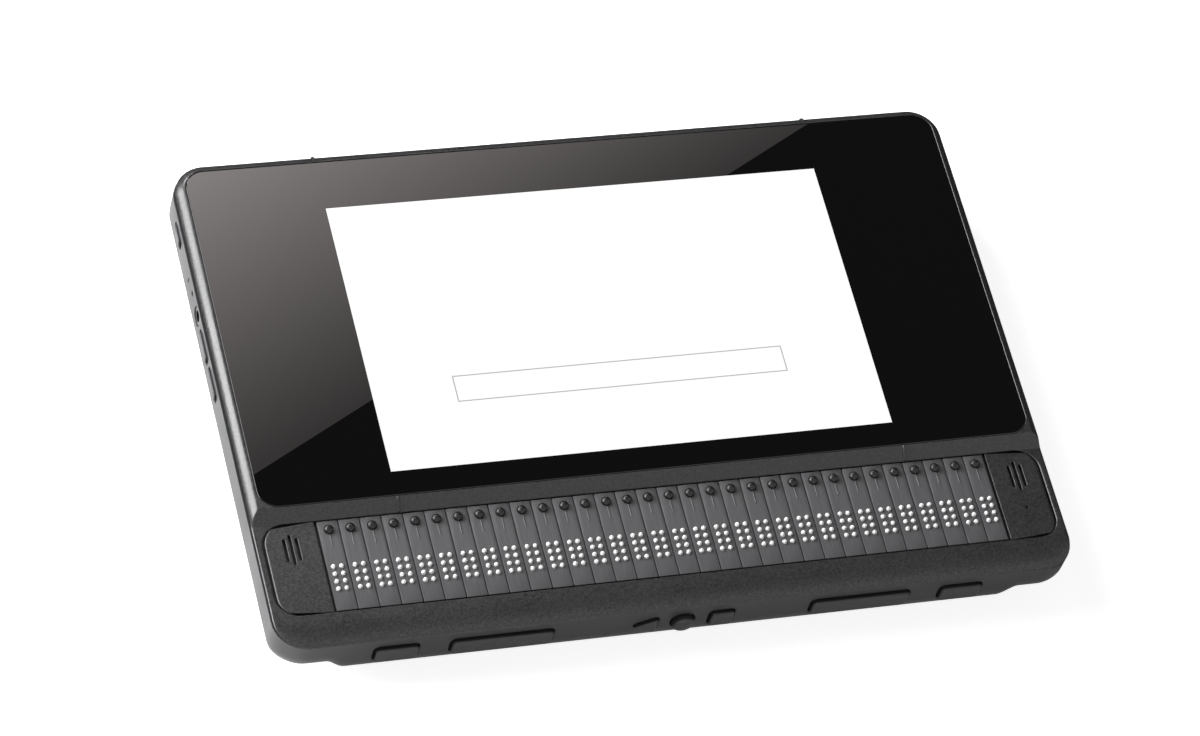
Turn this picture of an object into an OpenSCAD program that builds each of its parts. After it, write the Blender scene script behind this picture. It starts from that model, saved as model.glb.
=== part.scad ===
// A portable braille notetaker: a flat slab with a touch screen, a line of refreshable braille
// cells in front of it, a routing button above each cell and thumb keys on the front edge.
// Sizes are in millimetres. X runs to the reader's right, Y to the back and Z up from the table.

/* [Body] */
// Width of the body, left to right
body_w = 244; // [240:1:256]
// Depth of the body, front to back
body_d = 165; // [163:1:176]
// Radius of the outline's corners
corner_r = 10; // [8:0.5:12]
// Height of the lower shell, from the belly to the parting line
shell_h = 19.7; // [19.3:0.1:22]
// Rise of the deck above the parting line
deck_rise = 1.4; // [1.2:0.1:1.8]
// Rise of the screen glass above the deck
glass_rise = 3.1; // [2.9:0.1:4]
// Wall of the lower shell at the sides and the back
wall = 2; // [1.6:0.1:2.2]
// Wall of the lower shell behind the thumb keys
front_wall = 2.6; // [2.2:0.1:2.8]
// Thickness of the lower shell's floor
floor_t = 1.8; // [1.5:0.1:2]
// Radius of the bottom edge along the sides
side_r = 7; // [5:0.5:8]
// Radius of the bottom edge along the front
front_r = 11; // [10:0.5:12]
// Radius of the bottom edge along the back
back_r = 7; // [5:0.5:8]
// Depth of the belly below the two ends
belly_drop = 4; // [3:0.1:4.1]
// Half the width of the belly's flat bottom
belly_half_w = 100; // [96:0.5:101]
// Run of the ramp at each end of the belly
belly_ramp = 6; // [4:0.5:8]
// Reach of the deck's roll down to its front edge
deck_roll = 8; // [6:0.5:9]

/* [Screen] */
// Width of the rounded rail round the glass
rail_w = 3.25; // [2.8:0.05:4]
// Width of the flat lip between rail and glass
lip_w = 0.6; // [0.4:0.1:1]
// Run of the slope between the deck and the glass
slope_run = 3.2; // [2.6:0.1:4]
// Thickness of the glass
glass_t = 1.1; // [0.9:0.1:1.4]
// Gap round the glass
glass_gap = 0.25; // [0.15:0.05:0.4]
// Radius of the glass corners
glass_r = 6; // [4:0.5:7]
// Width of the display module
lcd_w = 164; // [150:1:180]
// Distance from the glass's front edge to the display module
lcd_front = 4.85; // [3:0.05:8]
// Thickness of the display module
lcd_t = 2.4; // [1.8:0.1:2.6]
// Distance from the back of the body to the display module
lcd_back = 13.5; // [12.5:0.5:14]
// Distance of the tactile screen marks from the middle
mark_x = 78; // [60:1:90]
// Width of a tactile screen mark
mark_w = 0.7; // [0.5:0.1:1]
// Height of a tactile screen mark
mark_h = 0.25; // [0.15:0.05:0.4]

/* [Braille line] */
// Number of braille cells
cells = 32; // [24:1:32]
// Spacing of the cells
cell_pitch = 6.42; // [6.3:0.01:6.42]
// Gap between two cell caps
cell_gap = 0.3; // [0.2:0.05:0.4]
// Spacing of the dots in a cell
dot_pitch = 2.45; // [2.3:0.05:2.5]
// Radius of a dot pin
dot_r = 0.75; // [0.6:0.05:0.8]
// Height of a raised dot above its cap
dot_rise = 0.8; // [0.6:0.1:1]
// Travel of a dot pin
dot_travel = 0.7; // [0.5:0.05:0.8]
// Distance from the front of the body to the middle of the dots
dot_line = 21.4; // [21:0.1:22]
// Reach of the caps in front of the middle of the dots
caps_front = 10.9; // [10:0.1:11]
// Reach of the caps behind the middle of the dots
caps_back = 18.8; // [18.5:0.1:19.5]
// Thickness of a cell cap
cap_t = 1.5; // [1.2:0.1:1.8]
// Depth of the caps below the deck
cap_drop = 0.2; // [0.1:0.05:0.4]
// Distance from the middle of the dots to the routing buttons
routing_back = 15.9; // [15:0.1:16]
// Radius of a routing button
routing_r = 1.45; // [1.2:0.05:1.6]
// Height of a routing button above its cap
routing_rise = 1.1; // [0.8:0.1:1.4]
// Travel of a routing button
routing_travel = 0.5; // [0.3:0.05:0.6]
// Radial play of dot pins and routing buttons in their caps
pin_play = 0.05; // [0.03:0.01:0.08]

/* [Speaker panels] */
// Width of the strip of deck outside each panel
panel_edge = 1.8; // [1.5:0.1:2.5]
// Groove between a panel and the deck
panel_groove = 0.8; // [0.5:0.1:1]
// Gap between a panel and the first cell
panel_gap = 0.7; // [0.5:0.1:1]
// Seam in front of and behind the caps and panels
seam = 0.4; // [0.3:0.05:0.5]
// Thickness of a panel
panel_t = 1.5; // [1.2:0.1:1.6]
// Radius of a panel's outer corners
panel_r = 6.5; // [5:0.5:7]
// Spacing of the sound slots
slot_pitch = 1.85; // [1.6:0.05:2.1]
// Width of a sound slot
slot_w = 0.9; // [0.6:0.1:1.1]
// Length of the outer sound slots
slot_l = 7.5; // [6:0.5:9]
// Extra length of the middle sound slot
slot_extra = 2.5; // [1:0.5:4]
// Height of a speaker
speaker_h = 4.5; // [3.5:0.1:5]

/* [Thumb keys] */
// Height of a thumb key
key_h = 6.6; // [6:0.1:7]
// Height of the keys' middle above the belly
key_up = 12.4; // [12:0.1:12.8]
// Width of a long thumb key
long_key_w = 30; // [26:0.5:32]
// Distance between a long key and the short key beside it, middle to middle
key_step = 31.5; // [27:0.1:34]
// Width of a short thumb key
short_key_w = 12.5; // [11:0.5:13]
// Distance of the short keys' middles from the belly's ends
short_key_in = 13.8; // [12.5:0.1:15]
// Distance of the two small keys from the middle
small_key_x = 11.8; // [11:0.1:14]
// Width of the square key
square_key_w = 6.8; // [6:0.1:7.4]
// Width of the triangle key
triangle_key_w = 7.4; // [6.5:0.1:8]
// Radius of the round key
round_key_r = 3.75; // [3:0.05:4]
// Gap round a thumb key
key_gap = 0.8; // [0.4:0.1:0.9]
// Reach of a thumb key out of the front face
key_proud = 0.65; // [0.4:0.05:1.2]
// Extra reach of the round key's dome
round_key_dome = 0.6; // [0.4:0.05:1.2]
// Travel of a thumb key
key_travel = 0.8; // [0.5:0.05:0.9]

/* [Left side] */
// Height of the side keys' middle above the belly
side_key_up = 15.4; // [15:0.1:15.8]
// Height of a side key
side_key_h = 2.8; // [2.4:0.1:3.2]
// Reach of a side key out of the wall
side_key_proud = 0.6; // [0.3:0.1:0.8]
// Travel of a side key
side_key_travel = 0.5; // [0.3:0.05:0.6]
// Length of a volume key
volume_key_l = 10; // [8:0.5:10.5]
// Distance from the back of the body to the middle of the rear volume key
volume_back = 59.3; // [59.1:0.1:60]
// Spacing of the two volume keys
volume_pitch = 13.1; // [13:0.1:15]
// Length of the power key
power_key_l = 7.1; // [6:0.1:8]
// Distance from the back of the body to the middle of the power key
power_back = 19.7; // [19.5:0.1:24]
// Distance from the back of the body to the headphone jack
jack_back = 48.7; // [46.5:0.1:49.1]
// Height of the headphone jack above the belly
jack_up = 15.8; // [15.6:0.1:15.8]
// Radius of the headphone jack's bore
jack_r = 1.8; // [1.76:0.01:1.9]
// Depth of the headphone jack's bore
jack_depth = 14; // [12:0.5:14]
// Radius of the headphone jack's nose
jack_nose_r = 2.75; // [2.4:0.05:3]

/* [Underside and inside] */
// Height of the rubber feet below the belly
foot_h = 0.8; // [0.6:0.1:1.5]
// Radius of a rubber foot
foot_r = 6; // [4:0.5:8]
// Depth of a foot's seat in the belly
foot_seat = 0.5; // [0.3:0.1:0.8]
// Width of the battery
battery_w = 128; // [100:1:130]
// Distance from the back of the body to the battery
battery_back = 29.8; // [29:0.1:36]
// Height of the battery
battery_h = 7.2; // [5:0.1:7.4]
// Radius of a screw's shank
screw_r = 1.25; // [1:0.05:1.4]
// Length of a screw's shank
screw_l = 10; // [9:0.5:11]
// Distance of the corner screws from the sides
screw_in = 7; // [7:0.1:8]
// Thickness of the circuit boards
board_t = 1.6; // [1.2:0.1:1.6]

/* [Hidden] */
$fn = 48;
HULL_FN = 32;
STEPS = 6;
FACETS = 8;
skin = 0.01;
past = 1;
flange_reach = 0.8;
running_gap = 0.1;
seat_gap = 0.3;

half_w = body_w / 2;
front_y = -body_d / 2;
back_y = body_d / 2;
belly_z = foot_h;
end_z = belly_z + belly_drop;
part_z = belly_z + shell_h;
deck_z = part_z + deck_rise;
top_z = deck_z + glass_rise;
end_floor_z = end_z + floor_t;
belly_floor_z = belly_z + floor_t;
front_sill = 1.5 * wall;

dots_y = front_y + dot_line;
caps_y0 = dots_y - caps_front;
caps_y1 = dots_y + caps_back;
cap_z = deck_z - cap_drop;
cap_low_z = cap_z - cap_t;
cell_w = cell_pitch - cell_gap;
line_half_w = cells * cell_pitch / 2;
panel_x0 = line_half_w + panel_gap;
panel_x1 = half_w - panel_edge - panel_groove;
cell_rail_h = 0.4;
cell_base_z = end_floor_z + cell_rail_h;
reed_l = 36.5;
reed_y1 = caps_y1 + reed_l;
front_rail_in = 6;
back_rail_in = 14;
cell_rails = [caps_y0 + front_rail_in, reed_y1 - back_rail_in];
cell_rail_w = 2;
reed_drop = 3.5;
reed_top_z = part_z - reed_drop;
pin_pocket_depth = 3.3;
pin_pocket_z = cap_low_z - pin_pocket_depth;
pin_low_z = pin_pocket_z + seat_gap + dot_travel;
pin_pocket_play = 0.4;
dot_straight = 0.2;
dot_tip_r = 0.2;
button_y = dots_y + routing_back;
button_flange_z = cap_low_z - seat_gap;
button_flange_t = 0.6;
button_straight = 0.1;
button_flange_reach = 0.45;
button_flange_r = routing_r + button_flange_reach;
button_pocket_z = button_flange_z - button_flange_t - routing_travel - seat_gap;

foot_y = caps_y1 + seam;
glass_y0 = foot_y + slope_run + lip_w + glass_gap;
glass_y1 = back_y - rail_w - glass_gap;
glass_half_w = half_w - rail_w - glass_gap;
glass_low_z = top_z - glass_t;
lcd_y1 = back_y - lcd_back;
lcd_y0 = glass_y0 + lcd_front;

panel_flange_t = 1.2;
panel_flange_z = deck_z - panel_t - panel_flange_t;
panel_flange_reach = 1.5;
panel_flange_in = 1;
speaker_z = panel_flange_z - speaker_h;
slot_mid_x = (panel_x0 + panel_x1) / 2;
slot_back = 10.4;
slot_mid_y = dots_y + slot_back;
speaker_inset = 1.4;
light_hole_r = 0.4;
light_hole_front = 0.6;
light_hole_y = dots_y - light_hole_front;
speaker_end_in = 2;
speaker_mouth = 2;
speaker_post_front = 12;
speaker_post_y = slot_mid_y - speaker_post_front;
speaker_post = [8, 6];

key_z = belly_z + key_up;
short_key_x = belly_half_w - short_key_in;
long_key_x = short_key_x - key_step;
key_corner_r = 1.2;
square_corner_r = 0.8;
key_flange_gap = 0.5;
key_flange_y = front_y + front_wall + key_flange_gap;
key_flange_t = 1.2;
key_back_y = key_flange_y + key_flange_t;
switch_h = 0.7;
switch_r = 1.8;
key_board_y = key_back_y + key_travel + running_gap + switch_h;
thumb_key_xs = [-short_key_x, -long_key_x, -small_key_x, 0, small_key_x, long_key_x, short_key_x];
key_board_drop = 5.2;
key_board_over = 10;
key_board_z = key_z - key_board_drop;
key_board_h = 9.5;
key_board_half_w = short_key_x + key_board_over;
triangle_slant = sqrt(pow(triangle_key_w, 2) + pow(key_h / 2, 2));
triangle_in_r = triangle_key_w * key_h / (key_h + 2 * triangle_slant);

side_key_z = belly_z + side_key_up;
side_key_gap = 0.25;
side_key_end_gap = 0.8;
side_key_corner_r = 1;
side_switch_w = 4;
side_switch_in = 2;
side_switch_rise = 1;
side_flange_x = -half_w + wall + seat_gap;
side_flange_t = 1;
side_switch_x = side_flange_x + side_flange_t + side_key_travel + running_gap;
side_flange_reach = 0.5;
power_y = back_y - power_back;
volume_up_y = back_y - volume_back;
volume_down_y = volume_up_y - volume_pitch;
side_keys = [[power_y, power_key_l], [volume_up_y, volume_key_l], [volume_down_y, volume_key_l]];
jack_y = back_y - jack_back;
jack_z = belly_z + jack_up;
jack_body_w = 6.6;
jack_hole_r = jack_nose_r + seat_gap;
jack_back_t = 2;
mic_step = 7.6;
mic_y = jack_y + mic_step;
mic_rise = 0.6;
mic_z = jack_z + mic_rise;
mic_r = 0.6;
slit_step = 12.8;
slit_y = jack_y + slit_step;
slit_drop = 0.2;
slit_z = jack_z - slit_drop;
slit_w = 0.6;
slit_h = 2.4;

jack_sink = 0.3;
board_low_z = jack_z - jack_body_w / 2 + jack_sink - board_t;
board_top_z = board_low_z + board_t;
board_side_gap = 4;
board_front_gap = 4;
board_back = 12.5;
board_half_w = half_w - wall - board_side_gap;
board_y0 = reed_y1 + board_front_gap;
board_y1 = back_y - board_back;
key_strip_w = 8;
post_r = 2.5;
peg_r = 1.2;
peg_rise = 0.6;
peg_play = 0.05;
post_side_in = 6;
post_front_in = 5;
post_back_in = 4;
board_posts = [for (sx = [-1, 1]) for (y = [board_y0 + post_front_in, board_y1 - post_back_in])
    [sx * (board_half_w - post_side_in), y]];
// Parts soldered to the main board: the corner nearest the front left, then the size
board_parts = [[-14, 24, 30, 30, 2.4], [24, 26, 16, 12, 1.4], [24, 44, 16, 12, 1.4],
    [-60, 20, 24, 10, 3], [60, 12, 20, 16, 2], [-78, 48, 36, 8, 2.6], [52, 44, 12, 12, 3.4]];
socket_y = jack_y;
socket_w = 9;
socket_h = 3.2;
socket_z = board_top_z + socket_h / 2;
socket_wall = 0.35;
socket_r = 1.4;
socket_depth = 7;
socket_gap = 0.35;
socket_set_back = 0.6;
socket_back_t = 1;
socket_tongue_t = 0.7;
socket_tongue_in = 1.5;

battery_front_gap = 7.5;
battery_y0 = reed_y1 + battery_front_gap;
battery_d = back_y - battery_back - battery_y0;
door_side_over = 4;
door_end_over = 5;
door_half_w = battery_w / 2 + door_side_over;
door_mid_y = battery_y0 + battery_d / 2;
door_half_d = battery_d / 2 + door_end_over;
door_t = 1.6;
door_r = 3;
door_gap = 0.3;
door_top_z = belly_z + door_t;
tongue_t = 1;
tongue_z = belly_floor_z + running_gap;
tongue_reach = 3;
tongue_x = 40;
tongue_w = 12;
tongue_root = 3;
hook_w = 14;
hook_root = 2;
hook_reach = 1.5;

screw_recess = 3.7;
screw_seat_z = end_z + screw_recess;
head_h = 1.6;
head_r = 2.2;
head_play = 0.3;
drive_l = 2.8;
drive_w = 0.6;
drive_depth = 0.9;
boss_t = 4;
shank_gap = 0.2;
boss_wall = 1.5;
boss_r = head_r + head_play + boss_wall;
boss_top_z = screw_seat_z + boss_t;
cover_post_r = 3;
cover_post_root = 0.3;
screw_play = 0.03;
screw_end_gap = 0.5;
foot_play = 0.1;
mid_screw_x = 40;
screws = concat(
    [for (sx = [-1, 1]) for (sy = [-1, 1]) [sx * (half_w - screw_in), sy * (back_y - screw_in)]],
    [for (sx = [-1, 1]) [sx * mid_screw_x, back_y - screw_in]]);
foot_front = 26;
foot_back = 20;
foot_side_in = 14;
feet = [for (sx = [-1, 1]) for (y = [front_y + foot_front, back_y - foot_back])
    [sx * (belly_half_w - foot_side_in), y]];

shell_grey = [0.20, 0.20, 0.21];
cover_grey = [0.23, 0.23, 0.24];
cap_grey = [0.36, 0.36, 0.36];
button_black = [0.12, 0.12, 0.12];

function two_digits(i) = str(i < 10 ? "0" : "", i);
function routing_name(i) = str("routing_button_", two_digits(i));
function cell_x(i) = (i - (cells + 1) / 2) * cell_pitch;

// How far a rounded bottom edge of radius r, lowest at z0, draws in at height z
function edge_in(r, z0, z) = z >= z0 + r ? 0 : r - sqrt(max(0, r * r - pow(z0 + r - z, 2)));

// Draw-in of the rail round the cover at height z, an ellipse from the parting line to the lip
function rail_in(z) = (rail_w - lip_w) * (1 - sqrt(max(0, 1 - pow((z - part_z) / (top_z - part_z), 2))));

// Draw-in of the deck's front edge at height z, an ellipse from the parting line to the deck
function roll_in(z) = deck_roll * (1 - sqrt(max(0, 1 - pow((z - part_z) / deck_rise, 2))));

// A rectangle with round corners, centred
module round_rect(w, d, r) {
    square([w - 2 * r, d], center = true);
    square([w, d - 2 * r], center = true);
    for (sx = [-1, 1], sy = [-1, 1]) translate([sx * (w / 2 - r), sy * (d / 2 - r)]) circle(r);
}

// A flat outline in X and Z, drawn out along Y from y0 to y1
module along_y(y0, y1) {
    translate([0, y1, 0]) rotate([90, 0, 0]) linear_extrude(y1 - y0) children();
}

// A flat outline in Y and Z, drawn out along X from x0 to x1
module along_x(x0, x1) {
    translate([x0, 0, 0]) rotate([90, 0, 90]) linear_extrude(x1 - x0) children();
}

// A box from its lowest corner to its highest
module box(low, high) {
    translate(low) cube(high - low);
}

// Four thin discs that mark one level of a rounded form
module level(z, half, y0, y1, rf, rb) {
    for (sx = [-1, 1]) {
        translate([sx * (half - rf), y0 + rf, z]) cylinder(r = rf, h = skin, $fn = HULL_FN);
        translate([sx * (half - rb), y1 - rb, z]) cylinder(r = rb, h = skin, $fn = HULL_FN);
    }
}

// The shell's outline from the side, with its bottom at z0: round edges at the front and the back
module side_profile(z0) {
    front_arc = [for (i = [0:FACETS]) let (a = 90 * i / FACETS)
        [front_y + front_r * (1 - sin(a)), z0 + front_r * (1 - cos(a))]];
    back_arc = [for (i = [0:FACETS]) let (a = 90 - 90 * i / FACETS)
        [back_y - back_r * (1 - sin(a)), z0 + back_r * (1 - cos(a))]];
    polygon(concat(front_arc, [[front_y, part_z], [back_y, part_z]], back_arc));
}

// The two ends' outline from the front, with round bottom edges
module end_profile() {
    right_arc = [for (i = [0:FACETS]) let (a = 90 * i / FACETS)
        [half_w - side_r * (1 - sin(a)), end_z + side_r * (1 - cos(a))]];
    left_arc = [for (i = [FACETS:-1:0]) [-right_arc[i].x, right_arc[i].y]];
    polygon(concat(right_arc, [[half_w, part_z], [-half_w, part_z]], left_arc));
}

// The belly runs between two ramps, and beyond them lie the shallower ends
module shell_outside() {
    ramp_x = belly_half_w + belly_ramp;
    along_x(-belly_half_w, belly_half_w) side_profile(belly_z);
    for (sx = [0, 1]) mirror([sx, 0, 0]) {
        hull() {
            along_x(belly_half_w, belly_half_w + skin) side_profile(belly_z);
            along_x(ramp_x - skin, ramp_x) side_profile(end_z);
        }
        intersection() {
            along_x(ramp_x, half_w) side_profile(end_z);
            along_y(front_y, back_y) end_profile();
            linear_extrude(part_z) round_rect(body_w, body_d, corner_r);
        }
    }
}

// The space inside: wide above the round edges, narrower below them, and the belly's sump
module shell_inside() {
    wide_z = board_low_z - seat_gap;
    low_y0 = front_y + edge_in(front_r, end_z, end_floor_z) + front_sill;
    low_y1 = back_y - back_r;
    low_half_w = half_w - side_r;
    sump_half_w = belly_half_w - wall;
    wide_d = body_d - front_wall - wall;
    translate([0, (front_wall - wall) / 2, wide_z]) linear_extrude(part_z - wide_z + past)
        round_rect(body_w - 2 * wall, wide_d, corner_r - wall);
    box([-low_half_w, low_y0, end_floor_z], [low_half_w, low_y1, wide_z]);
    box([-sump_half_w, low_y0, belly_floor_z], [sump_half_w, low_y1, end_floor_z]);
    box([-sump_half_w, front_y + front_wall, key_board_z], [sump_half_w, low_y0, wide_z]);
}

// Screw bosses, board posts, cell rails and speaker posts that stand up from the floor
module shell_fixings() {
    for (p = screws) translate([p.x, p.y, 0]) cylinder(r = boss_r, h = boss_top_z);
    for (p = board_posts) translate([p.x, p.y, 0]) {
        cylinder(r = post_r, h = board_low_z);
        cylinder(r = peg_r, h = board_top_z + peg_rise);
    }
    for (y = cell_rails)
        box([-line_half_w, y - cell_rail_w / 2, 0], [line_half_w, y + cell_rail_w / 2, cell_base_z]);
    for (sx = [-1, 1]) translate([sx * slot_mid_x, speaker_post_y, 0])
        linear_extrude(speaker_z) square(speaker_post, center = true);
}

module long_key_outline(gap) {
    round_rect(long_key_w + 2 * gap, key_h + 2 * gap, key_corner_r + gap);
}

module short_key_outline(gap) {
    round_rect(short_key_w + 2 * gap, key_h + 2 * gap, key_corner_r + gap);
}

module square_key_outline(gap) {
    round_rect(square_key_w + 2 * gap, key_h + 2 * gap, square_corner_r + gap);
}

// The triangle grows about the centre of its inscribed circle, so its gap is even
module triangle_key_outline(gap) {
    k = (triangle_in_r + gap) / triangle_in_r;
    translate([triangle_key_w / 2 - triangle_in_r, 0]) scale(k)
        translate([triangle_in_r - triangle_key_w / 2, 0])
            polygon([[-triangle_key_w / 2, 0], [triangle_key_w / 2, -key_h / 2],
                     [triangle_key_w / 2, key_h / 2]]);
}

module round_key_outline(gap) {
    circle(round_key_r + gap);
}

// Openings for the seven thumb keys in the front wall
module key_openings() {
    translate([0, 0, key_z]) along_y(front_y - past, key_flange_y) {
        for (sx = [-1, 1]) {
            translate([sx * long_key_x, 0]) long_key_outline(key_gap);
            translate([sx * short_key_x, 0]) short_key_outline(key_gap);
        }
        translate([-small_key_x, 0]) triangle_key_outline(key_gap);
        translate([small_key_x, 0]) square_key_outline(key_gap);
        round_key_outline(key_gap);
    }
}

// Openings for the side keys, the jack, the microphone and the charging socket
module side_openings() {
    for (k = side_keys)
        translate([0, k[0], side_key_z]) along_x(-half_w - past, -half_w + wall + past)
            round_rect(k[1] + 2 * side_key_end_gap, side_key_h + 2 * side_key_gap, side_key_corner_r);
    translate([-half_w - past, jack_y, jack_z]) rotate([0, 90, 0])
        cylinder(r = jack_hole_r, h = wall + 2 * past);
    translate([-half_w - past, mic_y, mic_z]) rotate([0, 90, 0])
        cylinder(r = mic_r, h = wall + 2 * past);
    translate([0, slit_y, slit_z]) along_x(-half_w - past, -half_w + wall + past)
        square([slit_w, slit_h], center = true);
    translate([0, socket_y, socket_z]) along_x(half_w - wall - past, half_w + past)
        round_rect(socket_w + 2 * socket_gap, socket_h + 2 * socket_gap, socket_r + socket_gap);
}

module lower_shell() {
    color(shell_grey) difference() {
        shell_outside();
        difference() {
            shell_inside();
            shell_fixings();
        }
        key_openings();
        side_openings();
        for (p = screws) translate([p.x, p.y, 0]) {
            translate([0, 0, -past]) cylinder(r = head_r + head_play, h = screw_seat_z + past);
            cylinder(r = screw_r + shank_gap, h = boss_top_z + past);
        }
        for (p = feet) translate([p.x, p.y, 0])
            cylinder(r = foot_r + foot_play, h = belly_z + foot_seat);
        translate([0, door_mid_y, 0]) linear_extrude(belly_floor_z + past)
            round_rect(2 * door_half_w, 2 * door_half_d, door_r);
    }
}

// The deck in front of the screen, rolled down at its front edge
module deck_form() {
    hull() {
        for (i = [0:STEPS]) {
            z = part_z + deck_rise * sin(90 * i / STEPS);
            level(min(z, deck_z - skin), half_w - rail_in(z), front_y + roll_in(z), foot_y,
                max(corner_r - roll_in(z), 2), skin);
        }
    }
}

// The frame round the screen, with its rounded rail and front slope
module frame_form() {
    hull() {
        for (i = [0:STEPS]) {
            z = part_z + deck_rise * sin(90 * i / STEPS);
            level(min(z, deck_z - skin), half_w - rail_in(z), foot_y, back_y - rail_in(z),
                skin, corner_r - rail_in(z));
        }
        for (i = [1:STEPS]) {
            z = deck_z + glass_rise * i / STEPS;
            level(min(z, top_z - skin), half_w - rail_in(z), foot_y + slope_run * i / STEPS,
                back_y - rail_in(z), skin + glass_r * i / STEPS, corner_r - rail_in(z));
        }
    }
}

// Tactile marks across the back rail and the front slope, in line with the picture's sides
module screen_marks() {
    back_mark = [for (i = [0:STEPS]) let (z = part_z + (top_z - part_z) * sin(90 * i / STEPS))
        [back_y - rail_in(z) + (i < STEPS ? mark_h : 0), z]];
    front_mark = [[foot_y, deck_z], [foot_y - mark_h, deck_z + mark_h],
        [foot_y + slope_run - mark_h, top_z], [foot_y + slope_run, top_z]];
    for (sx = [-1, 1]) translate([sx * mark_x, 0, 0]) along_x(-mark_w / 2, mark_w / 2) {
        polygon(concat(back_mark, [[back_y - rail_w + lip_w, part_z]]));
        polygon(concat(front_mark, [[foot_y + slope_run, deck_z]]));
    }
}

module top_cover() {
    glass_mid_y = (glass_y0 + glass_y1) / 2;
    insert_mid_y = (caps_y0 + caps_y1) / 2;
    color(cover_grey) difference() {
        union() {
            deck_form();
            frame_form();
            screen_marks();
            for (p = screws) translate([p.x, p.y, boss_top_z])
                cylinder(r = cover_post_r, h = part_z - boss_top_z + cover_post_root);
        }
        translate([0, insert_mid_y, part_z - past]) linear_extrude(deck_rise + 2 * past)
            round_rect(2 * (panel_x1 + panel_groove), caps_y1 - caps_y0 + 2 * seam, panel_r + seam);
        translate([0, glass_mid_y, glass_low_z]) linear_extrude(glass_t + past)
            round_rect(2 * (glass_half_w + glass_gap), glass_y1 - glass_y0 + 2 * glass_gap,
                glass_r + glass_gap);
        box([-lcd_w / 2 - seat_gap, lcd_y0 - seat_gap, part_z - past],
            [lcd_w / 2 + seat_gap, lcd_y1 + seat_gap, glass_low_z + past]);
        for (p = screws) translate([p.x, p.y, boss_top_z - past])
            cylinder(r = screw_r + screw_play, h = screw_l - boss_t + past + screw_end_gap);
    }
}

module screen_glass() {
    color([0.04, 0.04, 0.045]) translate([0, (glass_y0 + glass_y1) / 2, glass_low_z])
        linear_extrude(glass_t) round_rect(2 * glass_half_w, glass_y1 - glass_y0, glass_r);
}

module lcd_panel() {
    color([0.9, 0.9, 0.92])
        box([-lcd_w / 2, lcd_y0, glass_low_z - lcd_t], [lcd_w / 2, lcd_y1, glass_low_z]);
}

// Each cap has eight dot holes, a button hole and a fine guide rib between them
module cell_cap() {
    rib_w = 0.3;
    rib_h = 0.15;
    rib_l = 4.2;
    rib_y1 = button_y - routing_r - running_gap;
    difference() {
        union() {
            box([-cell_w / 2, caps_y0, cap_low_z], [cell_w / 2, caps_y1, cap_z]);
            box([-rib_w / 2, rib_y1 - rib_l, cap_z - rib_h], [rib_w / 2, rib_y1, cap_z + rib_h]);
        }
        for (sx = [-1, 1], row = [-1.5:1.5])
            translate([sx * dot_pitch / 2, dots_y + row * dot_pitch, cap_low_z - past])
                cylinder(r = dot_r + pin_play, h = cap_t + 2 * past);
        translate([0, button_y, cap_low_z - past])
            cylinder(r = routing_r + pin_play, h = cap_t + 2 * past);
    }
}

module cell_caps() {
    color(cap_grey) for (i = [1:cells]) translate([cell_x(i), 0, 0]) cell_cap();
}

// A piezo cell: the block that carries the cap, and behind it the housing of the bending strips
module braille_cell() {
    pocket_half_w = dot_pitch / 2 + dot_r + pin_pocket_play;
    pocket_half_d = 1.5 * dot_pitch + dot_r + pin_pocket_play;
    difference() {
        along_x(-cell_w / 2, cell_w / 2)
            polygon([[caps_y0, cell_base_z], [reed_y1, cell_base_z], [reed_y1, reed_top_z],
                     [caps_y1, reed_top_z], [caps_y1, cap_low_z], [caps_y0, cap_low_z]]);
        box([-pocket_half_w, dots_y - pocket_half_d, pin_pocket_z],
            [pocket_half_w, dots_y + pocket_half_d, cap_low_z + past]);
        translate([0, button_y, button_pocket_z])
            cylinder(r = button_flange_r + seat_gap, h = cap_low_z - button_pocket_z + past);
    }
}

module braille_cells() {
    color([0.75, 0.73, 0.68]) for (i = [1:cells]) translate([cell_x(i), 0, 0]) braille_cell();
}

// A dot pin: a straight shank with a domed tip that ends in a small flat
module dot_pin() {
    dome = dot_rise - dot_straight;
    tip_z = cap_z + dot_rise;
    rotate_extrude() polygon(concat([[0, pin_low_z], [dot_r, pin_low_z]],
        [for (a = [0:30:60]) [dot_r * cos(a), cap_z + dot_straight + dome * sin(a)]],
        [[dot_tip_r, tip_z], [0, tip_z]]));
}

module pins(rows) {
    color([0.95, 0.95, 0.94]) for (i = [1:cells], sx = [-1, 1], row = rows)
        translate([cell_x(i) + sx * dot_pitch / 2, dots_y + row * dot_pitch, 0]) dot_pin();
}

module text_pins() {
    pins([-0.5, 0.5, 1.5]);
}

module cursor_pins() {
    pins([-1.5]);
}

// A panel over a speaker, on the side that sx gives, with its flanges under the deck
module speaker_panel(sx) {
    width = panel_x1 - panel_x0;
    depth = caps_y1 - caps_y0;
    mid_y = (caps_y0 + caps_y1) / 2;
    flange_out = seam + panel_flange_reach;
    flip = sx > 0 ? 0 : 1;
    mirror([flip, 0, 0]) difference() {
        union() {
            translate([panel_x0, mid_y, deck_z - panel_t]) linear_extrude(panel_t)
                intersection() {
                    translate([0, -depth / 2]) square([width, depth]);
                    translate([width / 2 - panel_r, 0]) round_rect(width + 2 * panel_r, depth, panel_r);
                }
            box([panel_x0, caps_y0 - flange_out, panel_flange_z],
                [panel_x1 - panel_r - panel_flange_in, caps_y1 + flange_out, deck_z - panel_t]);
        }
        for (k = [-1:1]) translate([slot_mid_x + k * slot_pitch, slot_mid_y, panel_flange_z - past])
            linear_extrude(panel_t + panel_flange_t + 2 * past)
                round_rect(slot_w, slot_l + (k == 0 ? slot_extra : 0), slot_w / 2 - skin);
        if (sx > 0) translate([slot_mid_x, light_hole_y, panel_flange_z - past])
            cylinder(r = light_hole_r, h = panel_t + panel_flange_t + 2 * past);
    }
}

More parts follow.
